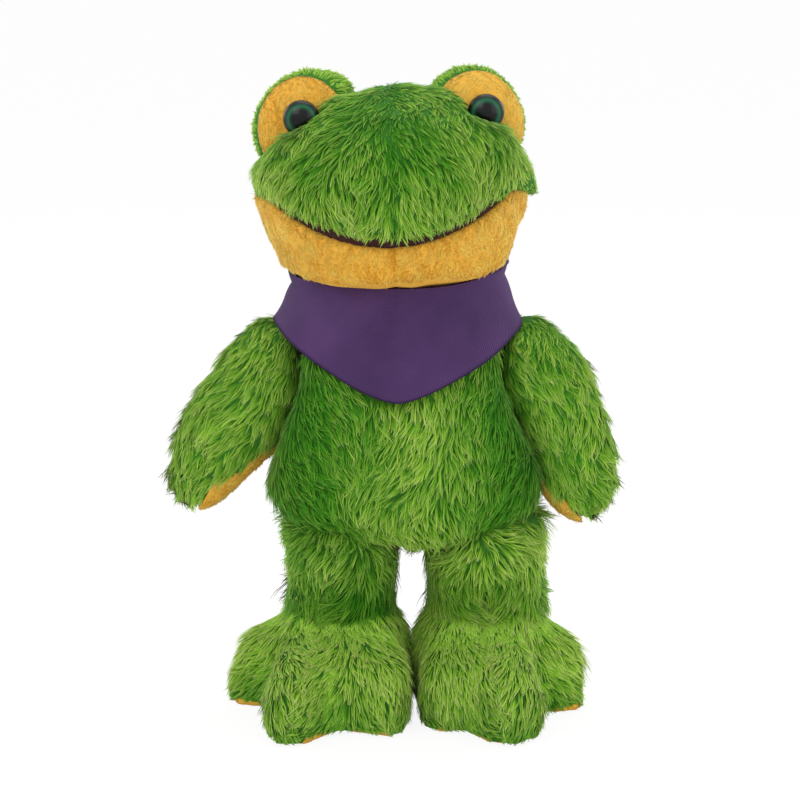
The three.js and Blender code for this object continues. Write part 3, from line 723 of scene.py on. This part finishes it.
def moundForm(word, name):
    side, mound = sides[word], head["mound"]
    ball = added(bpy.ops.mesh.primitive_uv_sphere_add, name, segments=48, ring_count=28, radius=1)
    halfSizes = [mound[k] for k in ("halfWidth", "halfDepth", "halfHeight")]
    bpy.ops.transform.resize(value=[(size - mound["inset"]) * mm for size in halfSizes])
    settle(ball)
    keepOrder(ball)
    lean = np.array([[side * mound["leanShare"], 0, 0]])
    movePoints(ball, lambda points: points - points[:, 2:] * lean)
    ball.data.transform(inHead(side * mound["x"], mound["y"], mound["z"]))
    pull(ball, headTurn, head["moundPulls"][word])
    return ball


def patchForm(word, name):
    mound, patch = head["mound"], head["patch"]
    shift, halfWidth = patch[word]
    cap = moundForm(word, name)
    prism = added(bpy.ops.mesh.primitive_cylinder_add, "prism", vertices=64, radius=1, depth=1)
    x, y, z = sides[word] * (mound["x"] + shift), mound["y"] + patch["cutY"], mound["z"] + patch["rise"]
    halfSizes = (halfWidth * mm, patch["cutHalfDepth"] * mm, patch["halfHeight"] * mm, 1)
    prism.data.transform(
        inHead(x, y, z) @ Matrix.Diagonal(halfSizes) @ Matrix.Rotation(math.pi / 2, 4, "X"))
    swell(cap, patch["swell"])
    cut(cap, prism, "INTERSECT")
    discard(prism)
    puffed(cap, 1.0 * mm, 6)
    return cap


def moundAt(points, side):  # places from a mound's middle, as shares of its half sizes
    mound = head["mound"]
    at = headLocal(points) - np.array([side * mound["x"], mound["y"], mound["z"]])
    at[:, 0] += side * mound["leanShare"] * at[:, 2]
    return at / np.array([mound["halfWidth"], mound["halfDepth"], mound["halfHeight"]])


def onPatch(points, word):
    mound, patch = head["mound"], head["patch"]
    shift, halfWidth = patch[word]
    centre = np.array([sides[word] * (mound["x"] + shift), mound["y"], mound["z"] + patch["rise"]])
    at = headLocal(points) - centre
    inside = ((at[:, 0] / (halfWidth + patch["edge"])) ** 2
              + (at[:, 2] / (patch["halfHeight"] + patch["edge"])) ** 2 < 1)
    return inside & (at[:, 1] < patch["frontY"])


def headComb(points, normals):
    # out from the middle of the crown, down the snout and away from its seam
    at = headLocal(points)
    flow = at - np.array([0, -6, 78])
    flow[:, 2] -= 18
    flow[:, 0] += 9 * np.tanh(at[:, 0] / 3) * hump(at[:, 0], 0, 12) * (at[:, 1] < 0)
    return flow


def headTint(points, normals):
    at = headLocal(points)
    x, z, front = at[:, 0], at[:, 2], at[:, 1] < 0
    tint = 0.34 + 0.14 * waves(points, 30 * mm, 11)
    tint -= 0.22 * hump(z, 62, 14) * front * hump(x, 0, 30)  # painted shade on the brow, in the hollow between the mounds
    tint += 0.24 * hump(np.abs(x), 46, 18) * hump(z, 42, 16)  # the cheeks
    tint += 0.2 * hump(aboveMouth(at), 8, 10) * front  # the lip
    return tint - 0.5 * hump(x, 1, 1.1) * front  # the seam down the snout


def headLength(points):
    at = headLocal(points)
    share = 1 - 0.36 * np.clip((at[:, 2] - 48) / 20, 0, 1)  # shorter on the crown
    share -= 0.25 * np.clip((np.abs(at[:, 0]) - 42) / 8, 0, 1)  # and at the sides
    lip = np.clip((aboveMouth(at) - 4) / 11, 0, 1) ** 0.8
    share *= 0.4 + 0.6 * np.where(at[:, 1] < 8, lip, 1)
    return np.where((at[:, 1] > 4) & (aboveMouth(at) < 6), 0.5, share)


def onCrown(points, normals):
    clear = [(moundAt(points, side) ** 2).sum(1) > head["mound"]["clear"] for side in (-1, 1)]
    return (headLocal(points)[:, 2] > 1.5) & clear[0] & clear[1]


def jawComb(points, normals):  # down, and a little outwards
    return headLocal(points) * np.array([0.5, 0, 0]) + np.array([0, 0, -30])


def jawTint(points, normals):  # paler to the sides as painted highlight on the jaw's bulges, dark in the chin's seam
    x = headLocal(points)[:, 0]
    return (0.16 + 0.2 * waves(points, 8 * mm, 12) + 0.45 * np.clip(np.abs(x) / 50, 0, 1)
            - 0.5 * hump(x, head["chinSeam"]["x"], 0.9))


def onJaw(points, normals):
    return (headLocal(points)[:, 2] > -1) & (normals[:, 2] > -0.8)


growPile("crownPile", crown, "head", {**longPile, "seed": 21}, headComb, headTint,
         onCrown, headLength, [(headForm, 4 * mm)])
growPile("jawPile", jaw, "head", {**shortPile, "seed": 31}, jawComb, jawTint, onJaw,
         under=[(headForm, 3 * mm)])
discard(headForm)
for word, side in sides.items():
    mound = moundForm(word, f"moundForm_{word}")
    dress(mound, "head", "green_pile", f"eye_mound_{word}", fill=0.9)
    patch = patchForm(word, f"patchForm_{word}")
    dress(patch, "head", "yellow_pile", f"eye_patch_{word}")
    moundPile = {**longPile, "seed": 41 + side, "length": 3.9 * mm, "lift": 0.13,
                 "spacing": 0.72 * mm, "tuft": 1.3 * mm}
    growPile(f"moundPile_{word}", mound, "head", moundPile,
             lambda p, n: moundAt(p, side) * np.array([1, 0.6, 1]) + np.array([0, 0.5, -0.2]),
             lambda p, n: 0.7 - 0.12 * side + 0.16 * waves(p, 14 * mm, 13),
             lambda p, n: ~onPatch(p, word) & (headLocal(p)[:, 2] > 40))
    growPile(f"patchPile_{word}", patch, "head",
             {**shortPile, "seed": 51 + side, "length": 1.6 * mm},
             lambda p, n: moundAt(p, side) + np.array([0, 0, -0.6]),
             lambda p, n: 0.55 + 0.25 * side + 0.2 * waves(p, 9 * mm, 14),
             lambda p, n: n[:, 1] < 0.2)
print("head dressed")

# Eyes: a domed plastic button on a shank, with a green ring inside the dome
eye = {
    "radius": 7, "dome": 5.6, "rim": 1.2, "shankInset": 0.73, "shankEnd": -9.2, "edge": 0.35 * mm,
    "offset": {"left": -0.6, "right": 3.9}, "riseZ": 3.8, "seatGap": 0.3,
    # colours from the middle to the rim
    "colours": ((0, "020304"), (0.5, "040605"), (0.6, "0C3322"), (0.72, "1C6242"),
                (0.82, "103A28"), (0.9, "120D09"), (1, "1C130C")),
}


def eyeMiddle(word):  # on the front of the mound
    mound = head["mound"]
    across = (eye["offset"][word] + mound["leanShare"] * eye["riseZ"]) / mound["halfWidth"]
    depth = mound["halfDepth"] * math.sqrt(1 - across ** 2 - (eye["riseZ"] / mound["halfHeight"]) ** 2)
    return (sides[word] * (mound["x"] + eye["offset"][word]), mound["y"] - depth - eye["seatGap"],
            mound["z"] + eye["riseZ"])


def eyeMaterial():
    shade = Shade("eyePlastic")
    away = shade.value("away")
    stops = [(place, paint(code)) for place, code in eye["colours"]]
    colour = shade.wire("ShaderNodeValToRGB", "Color", {"stops": stops}, {"Fac": away})
    return shade.finish(Base_Color=colour, Roughness=0.35, Specular_IOR_Level=0.15, Coat_Weight=0.2,
                        Coat_Roughness=0.1)


def shapeEye(points):  # from a half ball with a flat back and a shank to the eye's own sizes
    z = points[:, 2]
    shaped = np.where(z > 0, z * (eye["dome"] - eye["rim"]) + eye["rim"],
                      np.where(z > -0.5, 0, eye["shankEnd"]))
    shaped = np.where(np.abs(z) < 1e-4, eye["rim"], shaped)
    return np.column_stack([points[:, :2] * eye["radius"], shaped]) * mm


def smoothByAngle(obj, degrees):
    pick(obj)
    bpy.ops.object.shade_smooth_by_angle(angle=math.radians(degrees))


def makeEye(word):
    button = added(bpy.ops.mesh.primitive_uv_sphere_add, f"eyeButton_{word}", segments=64,
                   ring_count=48, radius=1)
    half = {"plane_co": (0, 0, 0), "plane_no": (0, 0, 1), "clear_inner": True, "use_fill": True}
    editWhole(button, (bpy.ops.mesh.bisect, half), (bpy.ops.mesh.select_all, {"action": "DESELECT"}))
    dome = button.data
    for face in dome.polygons:
        face.select = face.normal.z < -0.9
    bpy.ops.object.mode_set(mode="EDIT")
    bpy.ops.mesh.select_mode(type="FACE")
    bpy.ops.mesh.extrude_region_move(TRANSFORM_OT_translate={"value": (0, 0, -0.2)})
    bpy.ops.mesh.inset(thickness=eye["shankInset"])
    bpy.ops.mesh.extrude_region_move(TRANSFORM_OT_translate={"value": (0, 0, -1.5)})
    bpy.ops.object.mode_set(mode="OBJECT")
    movePoints(button, shapeEye)
    modify(button, "BEVEL", width=eye["edge"], segments=3, limit_method="ANGLE",
           angle_limit=math.radians(50))
    away = np.hypot(*readAll(dome.vertices, "co", 3)[:, :2].T) / (eye["radius"] * mm)
    addValue(dome, "away", away)
    dome.transform(inHead(*eyeMiddle(word)) @ Matrix.Rotation(math.pi / 2, 4, "X"))
    smoothByAngle(button, 40)
    return button


eyePlastic = eyeMaterial()
for word in sides:
    attach(makeEye(word), "head", "eye_plastic", eyePlastic, f"eye_{word}")
print("eyes ready")

# Torso
torsoShape = {
    "form": {"grid": 3 * mm, "relax": 8, "inset": 1.6 * mm},
    "pulls": (((46, -4, 100), 21, (5.4, 0, 0)), ((44, -4, 124), 15, (2.6, 0, 0)),
              ((-43, -4, 114), 18, (-3.4, 0, 0))),
    "pileLowZ": 67, "pile": {"seed": 61, "length": 7.8 * mm},
}
torso = stuffedForm("torsoForm", ["torso_cover", "torso_stuffing"], torsoShape["form"])
pull(torso, upright, torsoShape["pulls"])
dress(torso, "torso", "green_pile", "torso_cover", "torso_stuffing", fill=0.85)


def torsoComb(points, normals):  # down, and in front towards the middle
    at = local(points)
    inward = 4 - at[:, 0]
    ways = inward * (0.5 + 1.4 * np.clip(np.abs(inward) / 50, 0, 1)) * np.where(at[:, 1] < 8, 1, 0.15)
    return np.stack([ways, 0 * inward, 40 - at[:, 2]], 1)


def torsoTint(points, normals):
    at = local(points)
    tint = 0.28 + 0.14 * waves(points, 34 * mm, 15)
    tint += 0.26 * hump(at[:, 0], 8, 20) * (at[:, 1] < 0)  # the belly
    return tint - 0.45 * hump(np.abs(at[:, 0] - 2), 43, 13) * (at[:, 1] < 12)  # painted shade under the arms


# Arms and palms
armShape = {
    "form": {"grid": 2.4 * mm, "relax": 5, "inset": 1.6 * mm},
    "pulls": {
        "left": (((-50, 0, 149), 12, (-2.6, 0, 3.6)), ((-62, 0, 139), 12, (-2, 0, 0.6)),
                 ((-50, -4, 111), 17, (7.6, 0, 0)), ((-84, 0, 83), 12, (-2, 0, -2.4))),
        "right": (((50, 0, 149), 12, (2, 0, 4)), ((66, 0, 137), 14, (3.2, 0, 0.6)),
                  ((48, -4, 114), 19, (-6.6, 0, 0)), ((79, 0, 80), 12, (2.4, 0, -3))),
    },
    "pile": {"lift": 0.13, "length": 7.8 * mm},
}
palmShape = {
    "sink": 1.2 * mm, "facing": (0.93, 0, -0.36),  # inwards and down
    "topZ": {"left": 108 * mm, "right": 95 * mm}, "slim": {"left": 0.85, "right": 0.72},
    "raise": 0.07,  # of its height
    # the arm's pile stays off what lies between these shares of its height and width
    "bareLow": 0.1, "bareHigh": 0.97, "bareWidth": 0.86,
}


def leafWidth(up, slim):  # a palm narrows to a rounded point at the top
    return slim * (1 - 0.65 * np.clip((up - 0.4) / 0.6, 0, 1) ** 1.6)


armForms = []
for word, side in sides.items():
    body = f"arm_{word}"
    cover = [f"arm_cover_{word}", f"arm_stuffing_{word}"]
    arm = stuffedForm(f"armForm_{word}", [*cover, f"palm_{word}"], armShape["form"])
    armForms.append(arm)
    pull(arm, upright, armShape["pulls"][word])
    dress(arm, body, "green_pile", *cover, fill=0.85)
    palm = copyOf(f"palmForm_{word}", [f"palm_{word}"])
    puffed(palm, 1.1 * mm, 5)
    inward = np.array(palmShape["facing"]) * (-side, 1, 1)
    palm.data.transform(Matrix.Translation(Vector(inward) * -palmShape["sink"]))
    low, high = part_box(f"palm_{word}")
    shown, slim = palmShape["topZ"][word] - low.z, palmShape["slim"][word]
    middleY, halfWidth = (low.y + high.y) / 2, (high.y - low.y) / 2

    def narrowed(points):
        up = (points[:, 2] - low.z) / (high.z - low.z)
        y = middleY + (points[:, 1] - middleY) * leafWidth(up, slim)
        raised = palmShape["raise"] + (1 - palmShape["raise"]) * up
        return np.stack([points[:, 0], y, low.z + raised * shown], 1)

    def offPalm(p, n):
        up = (p[:, 2] - low.z) / shown
        beside = np.abs(p[:, 1] - middleY) / (halfWidth * leafWidth(up, slim))
        bare = ((n @ inward > 0.2) & (up > palmShape["bareLow"]) & (up < palmShape["bareHigh"])
                & (beside < palmShape["bareWidth"]))
        return ~bare & ~underScarf(p, 1)

    def armComb(p, n):  # down, outwards and away from the middle of the sleeve
        return np.array([side * 0.55, 0, -1]) + np.outer(np.sign(local(p)[:, 1]), (0, 0.1, 0))

    def armTint(p, n):  # paler at the wrist
        return 0.48 - 0.06 * side + 0.16 * waves(p, 22 * mm, 16) + 0.2 * hump(local(p)[:, 2], 78, 14)

    def armLength(p):  # shorter at the hand and at the shoulder
        z = local(p)[:, 2]
        return 0.8 + 0.2 * np.clip((z - 80) / 14, 0, 1) - 0.4 * np.clip((z - 142) / 8, 0, 1)

    movePoints(palm, narrowed)
    pull(palm, upright, armShape["pulls"][word])
    dress(palm, body, "yellow_pile", f"palm_{word}")
    growPile(f"armPile_{word}", arm, body, {**longPile, "seed": 71 + side, **armShape["pile"]},
             armComb, armTint, offPalm, armLength, [(torso, 1.5 * mm)])
    growPile(f"palmPile_{word}", palm, body, {**shortPile, "seed": 81 + side},
             lambda p, n: np.array([0, 0, -1]),
             lambda p, n: 0.5 + 0.25 * waves(p, 10 * mm, 17),
             lambda p, n: n @ inward > -0.25)
print("arms dressed")

# Legs, feet and soles
legShape = {
    "form": {"grid": 2.6 * mm, "relax": 6, "inset": 2.2 * mm},
    "pulls": {
        "left": (((-48, 0, 55), 22, (3, 0, 0)), ((-24.7, -25, 64), 18, (0, -8, 0)),
                 ((-24.7, -18, 76), 16, (0, -11, 3))),
        "right": (((57, 0, 43), 13, (2.2, 0, 0)), ((33.3, -25, 64), 18, (0, -8, 0)),
                  ((33.3, -18, 76), 16, (0, -11, 3))),
    },
    "axisX": 4.3, "axisApart": 28.6,  # the ankles' upright lines, from the middle line
    "pileLowZ": 31 * mm, "pile": {"drift": 0.6, "driftSize": 26 * mm, "lift": 0.18},
}
footShape = {
    "form": {"grid": 2.4 * mm, "relax": 14, "inset": 0.5 * mm},
    "pulls": {
        "left": (((-64, 5, 22), 22, (2.6, 0, 0)), ((1, -14, 16), 24, (4.4, 0, 0))),
        "right": (((8, -14, 16), 24, (-4.4, 0, 0)), ((50, -46, 8), 15, (2.4, -1.5, 0))),
    },
    "toeSeam": {"left": 14, "right": 3.5},  # degrees outwards from straight ahead
    "ankleSlim": 0.3, "ankleZ": 38, "ankleOver": 8,  # the ankle stays well inside the leg
    "pileZ": (2.2 * mm, 40 * mm),
    "pile": {"length": 7.6 * mm, "ripple": 0.18, "drift": 0.25, "stray": 0.06, "lift": 0.14},
}
soleShape = {
    "share": 0.935, "middleY": -12 * mm,  # drawn in, about a place in front of the ankle
    "pile": {"spacing": 0.8 * mm, "width": 0.32 * mm, "length": 1.4 * mm},
}
legForms = []
for word, side in sides.items():
    body, sole = f"leg_{word}", f"sole_{word}"
    cover = [f"leg_cover_{word}", f"leg_stuffing_{word}"]
    leg = stuffedForm(f"legForm_{word}", cover, legShape["form"])
    legForms.append(leg)
    foot = stuffedForm(f"footForm_{word}", [f"foot_cover_{word}", sole, cover[1]], footShape["form"])
    soleForm = copyOf(f"soleForm_{word}", [sole])
    puffed(soleForm, 1.5 * mm, 3)
    ankleX = middle.x / mm + legShape["axisX"] + side * legShape["axisApart"]
    ankle = np.array([ankleX, middle.y / mm, 0]) * mm
    seamTurn = math.radians(footShape["toeSeam"][word])
    seamWay = np.array([side * math.sin(seamTurn), -math.cos(seamTurn)])
    acrossWay = np.array([-seamWay[1], seamWay[0]])

    def slimmed(points):
        above = np.clip((points[:, 2:] / mm - footShape["ankleZ"]) / footShape["ankleOver"], 0, 1)
        share = 1 - footShape["ankleSlim"] * above
        return np.column_stack([ankle[:2] + (points[:, :2] - ankle[:2]) * share, points[:, 2]])

    def drawnIn(points):
        centre = ankle + (0, soleShape["middleY"], 0)
        return centre + (points - centre) * (soleShape["share"], soleShape["share"], 1)

    def alongSeam(p):  # millimetres ahead of the ankle and beside the middle toe's seam
        away = (p - ankle)[:, :2] / mm
        return away @ seamWay, away @ acrossWay

    def footComb(p, n):  # away from the ankle, and parted at the seam
        ahead, beside = alongSeam(p)
        turn = 0.8 * np.clip((ahead - 18) / 20, 0, 1) * np.tanh(beside / 2.5) * hump(beside, 0, 15)
        flow = unit((p - ankle)[:, :2]) - turn[:, None] * acrossWay
        return np.column_stack([flow, np.full(len(p), -0.6)])

    def footTint(p, n):  # paler on top as painted light, darker to the floor as painted shade, and darker in the seam
        ahead, beside = alongSeam(p)
        tint = 0.38 + 0.14 * waves(p, 22 * mm, 19) + 0.64 * np.clip((p[:, 2] / mm - 6) / 18, 0, 1)
        return tint - 0.6 * hump(beside, 0, 1.6) * (ahead > 25) * (p[:, 2] < 28 * mm)

    pull(leg, upright, legShape["pulls"][word])
    pull(foot, upright, footShape["pulls"][word])
    movePoints(foot, slimmed)
    movePoints(soleForm, drawnIn)
    dress(leg, body, "green_pile", *cover, fill=0.85)
    dress(foot, body, "green_pile", f"foot_cover_{word}", f"pellet_bag_{word}", fill=0.7)
    dress(soleForm, body, "yellow_pile", sole)
    growPile(f"legPile_{word}", leg, body, {**longPile, "seed": 91 + side, **legShape["pile"]},
             lambda p, n: np.array([side * 0.2, 0, -1]),
             lambda p, n: 0.42 + 0.18 * side + 0.16 * waves(p, 26 * mm, 18),
             lambda p, n: p[:, 2] > legShape["pileLowZ"],
             lambda p: 1 + 0.25 * hump(p[:, 2], 42 * mm, 6 * mm),
             [(torso, 4 * mm), (foot, 1 * mm)], foot)
    lowZ, highZ = footShape["pileZ"]
    growPile(f"footPile_{word}", foot, body, {**longPile, "seed": 101 + side, **footShape["pile"]},
             footComb, footTint, lambda p, n: (p[:, 2] > lowZ) & (p[:, 2] < highZ),
             lambda p: 0.5 + 0.5 * np.clip((p[:, 2] / mm - 2) / 12, 0, 1), [(leg, 3 * mm)], foot)
    growPile(f"solePile_{word}", soleForm, body,
             {**shortPile, "seed": 111 + side, **soleShape["pile"]},
             lambda p, n: (p - ankle) * (1, 1, 0),
             lambda p, n: 0.4 + 0.25 * waves(p, 12 * mm, 20),
             lambda p, n: (n[:, 2] < 0.3) & (n[:, 2] > -0.8))

growPile("torsoPile", torso, "torso", {**longPile, **torsoShape["pile"]}, torsoComb, torsoTint,
         lambda p, n: (local(p)[:, 2] > torsoShape["pileLowZ"]) & ~underScarf(p, 2),
         lambda p: 0.6 + 0.4 * np.clip((local(p)[:, 2] - torsoShape["pileLowZ"]) / 12, 0, 1),
         [(form, 1.5 * mm) for form in (*armForms, *legForms)])
print("torso, legs and feet dressed")

# Washers stay as the CAD made them
washerPlastic = backingMaterial("washerPlastic", "C9CDC8", "DFE2DE", 900, 0.45)
for word in sides:
    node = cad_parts[f"eye_washer_{word}"]
    node.data.materials.clear()
    node.data.materials.append(washerPlastic)

# Neckerchief: one band of twill round the neck, its front hanging to a point
twill = {
    "ridge": (6900, 5200), "thread": (6900, -9400),  # radians to a metre, across and down
    "dark": "2A163B", "light": "5C4072", "hem": "1D1028",
    "tint": 26.0, "grain": 90.0,  # scales of the noise: the painted light and shade of folds, and the grain
}


def twillMaterial():
    shade = Shade("purpleTwill")
    place = shade.wire("ShaderNodeUVMap", "UV", {"uv_map": "cloth"})
    parts = shade.add("ShaderNodeSeparateXYZ", None, {"Vector": place})
    across, down = Wire(shade, parts.outputs[0]), Wire(shade, parts.outputs[1])
    ridge, thread = ((across * a + down * b).sine() for a, b in (twill["ridge"], twill["thread"]))
    grain = shade.noise(place, twill["grain"], 2.0, 0.5)
    # painted light and shade of folds, as broad patches of noise
    foldShade = shade.noise(place, twill["tint"], 1.0, 0.4)
    weave = (ridge * 0.36 + thread * 0.14 + 0.5).clamp(0, 1)
    tone = (weave * 0.7 + grain * 0.3 + foldShade * 0.9 - 0.48).clamp(0, 1)
    hem = shade.value("hem")
    colour = shade.mix(tone, paint(twill["dark"]), paint(twill["light"]))
    colour = shade.mix(hem, colour, paint(twill["hem"]))
    bump = shade.bump(0.5, 0.2 * mm, weave)
    return shade.finish(Base_Color=colour, Roughness=0.75, Specular_IOR_Level=0.15, Normal=bump)


def clothGrid(name, columns, rows):  # a square grid, and its points' places across and down it
    cloth = added(bpy.ops.mesh.primitive_grid_add, name, x_subdivisions=columns, y_subdivisions=rows,
                  size=1)
    flat = readAll(cloth.data.vertices, "co", 3)
    return cloth, flat[:, 0], 0.5 - flat[:, 1]


def mapCloth(cloth, across, down):  # the weave's map, from millimetres of cloth at each point
    layer = cloth.data.uv_layers[0]
    layer.name = "cloth"
    corner = readAll(cloth.data.loops, "vertex_index", 1, int)[:, 0]
    uv = np.stack([across * mm, down * mm], 1)[corner]
    layer.data.foreach_set("uv", uv.astype(np.float32).ravel())


def makeScarf():
    cloth, turn, drop = clothGrid("neckerchiefCloth", scarf["columns"], scarf["rows"])
    turn = turn * math.tau
    places = scarfPoints(turn, drop)
    movePoints(cloth, lambda points: places)
    height = places[:, 2] / mm
    addValue(cloth.data, "hem", np.clip(1.3 - (height - scarfHem(turn)) / scarf["hemSeam"], 0, 1))
    mapCloth(cloth, turn * scarf["mapWay"], scarf["topZ"] - height)
    editWhole(cloth, (bpy.ops.mesh.remove_doubles, {"threshold": 0.1 * mm}),
              (bpy.ops.mesh.normals_make_consistent, {"inside": False}))
    modify(cloth, "SOLIDIFY", thickness=scarf["thickness"] * mm, offset=1)
    smoothByAngle(cloth, 50)
    return cloth


# Knot and tails at the back of the neck
tailShape = {
    "topX": 5.2, "spread": 10.5, "topHalfWidth": 3.4, "widen": 4.2, "slant": 2.75, "longer": 0.9588,
    "thickness": 1.0 * mm, "columns": 20, "rows": 36, "mapWidth": 6, "mapLength": 28,
}


def makeKnot():
    low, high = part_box("neckerchief_knot")
    knot = added(bpy.ops.mesh.primitive_uv_sphere_add, "neckerchiefKnot", segments=48, ring_count=32,
                 radius=1)

    def folded(points):
        turn = np.arctan2(points[:, 2], points[:, 0])
        fold = 1 + 0.07 * np.sin(turn * 7 + 3 * points[:, 1]) * (1 - 0.5 * points[:, 1] ** 2)
        wrap = 1 + 0.1 * hump(points[:, 0], 0, 0.3)
        halfSizes = np.array((high - low) / 2)
        return points * (fold * wrap)[:, None] * halfSizes * 0.95 + np.array((high + low) / 2)

    movePoints(knot, folded)
    pick(knot)
    bpy.ops.object.shade_smooth()
    layer = knot.data.uv_layers[0]
    layer.name = "cloth"
    uv = readAll(layer.data, "uv", 2) * 0.05
    layer.data.foreach_set("uv", uv.astype(np.float32).ravel())
    return knot


def makeTail(word, side):
    low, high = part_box(f"neckerchief_tail_{word}")
    tail, across, down = clothGrid(f"neckerchiefTail_{word}", tailShape["columns"], tailShape["rows"])
    across = across * 2

    def hang(points):
        wide = tailShape["topHalfWidth"] + tailShape["widen"] * down
        ruffle = (1.5 * np.sin(across * 3.4 + 0.8) * (1 - 0.75 * down)
                  + 1.2 * np.sin(down * 5 + side) * down)
        x = side * (tailShape["topX"] + tailShape["spread"] * down) + across * wide
        length = (high.z - low.z) / mm * tailShape["longer"]
        z = high.z / mm - down * length - tailShape["slant"] * across * down * side
        return np.stack([x + middle.x / mm, (low.y + high.y) / 2 / mm + ruffle, z], 1) * mm

    movePoints(tail, hang)
    mapCloth(tail, across * tailShape["mapWidth"], down * tailShape["mapLength"])
    modify(tail, "SOLIDIFY", thickness=tailShape["thickness"], offset=0)
    smoothByAngle(tail, 50)
    return tail


purpleTwill = twillMaterial()
cloth = makeScarf()
attach(cloth, "torso", "purple_twill", purpleTwill, "neckerchief")
attach(makeKnot(), "torso", "purple_twill", purpleTwill, "neckerchief_knot")
for word, side in sides.items():
    tail = makeTail(word, side)
    attach(tail, "torso", "purple_twill", purpleTwill, f"neckerchief_tail_{word}")
print("neckerchief ready")

# Floor, light and camera

def seenBy(shade):  # 1 for the rays that show a surface, 0 for those that only light it
    path = shade.add("ShaderNodeLightPath")
    camera, glossy, clear = (Wire(shade, path.outputs[f"Is {kind} Ray"])
                             for kind in ("Camera", "Glossy", "Transmission"))
    return (camera + glossy + clear).clamp(0, 1)


floor = added(bpy.ops.mesh.primitive_plane_add, "floor", size=30, location=(0, 0, -0.5 * mm))
shade = Shade("paleFloor")
matt = shade.wire("ShaderNodeBsdfDiffuse", "BSDF", None, {"Color": paint("F4F4F2")})
glow = shade.wire("ShaderNodeEmission", "Emission", None, {"Color": (1, 1, 1, 1), "Strength": 1.03})
lit = shade.wire("ShaderNodeMixShader", "Shader", None, {0: seenBy(shade) * 0.88, 1: matt, 2: glow})
shade.add("ShaderNodeOutputMaterial", None, {"Surface": lit})
floor.data.materials.append(shade.material)
settle(floor)

world = bpy.data.worlds.new("studio")
bpy.context.scene.world = world
sky = Shade("sky", world)
background = sky.wire("ShaderNodeBackground", "Background", None,
                      {"Color": (1, 1, 1, 1), "Strength": seenBy(sky) * 0.31 + 0.72})
sky.add("ShaderNodeOutputWorld", None, {"Surface": background})

lamps = {
    "keyLamp": {"place": (-0.55, -0.95, 0.95), "size": 0.7, "power": 4.7},
    "fillLamp": {"place": (0.8, -0.8, 0.5), "size": 0.8, "power": 2.6},
    "topLamp": {"place": (0.1, 0.3, 1.2), "size": 0.8, "power": 3.2},
    "leftRimLamp": {"place": (-0.9, 0.55, 0.5), "size": 0.6, "power": 2.4},
    "rightRimLamp": {"place": (0.9, 0.55, 0.5), "size": 0.6, "power": 2.4},
}


def lookAt(obj, target):
    obj.rotation_euler = (Vector(target) - obj.location).to_track_quat("-Z", "Y").to_euler()


for name, lamp in lamps.items():
    light = added(bpy.ops.object.light_add, name, type="AREA", location=lamp["place"])
    light.data.energy = lamp["power"]
    light.data.size = lamp["size"]
    light.visible_camera = False
    lookAt(light, (0, 0, 0.13))

camera = {"place": (0, -1.0685, 0.3405), "aim": (0, 0.0102, 0.125), "lens": 125.9,
          "shift": (0.0094, -0.011)}
eyepiece = added(bpy.ops.object.camera_add, "photoCamera", location=camera["place"])
eyepiece.data.lens = camera["lens"]
eyepiece.data.sensor_width = 36
eyepiece.data.shift_x, eyepiece.data.shift_y = camera["shift"]
lookAt(eyepiece, camera["aim"])
bpy.context.scene.camera = eyepiece
bpy.context.scene.view_settings.view_transform = "Standard"
print("stage ready")
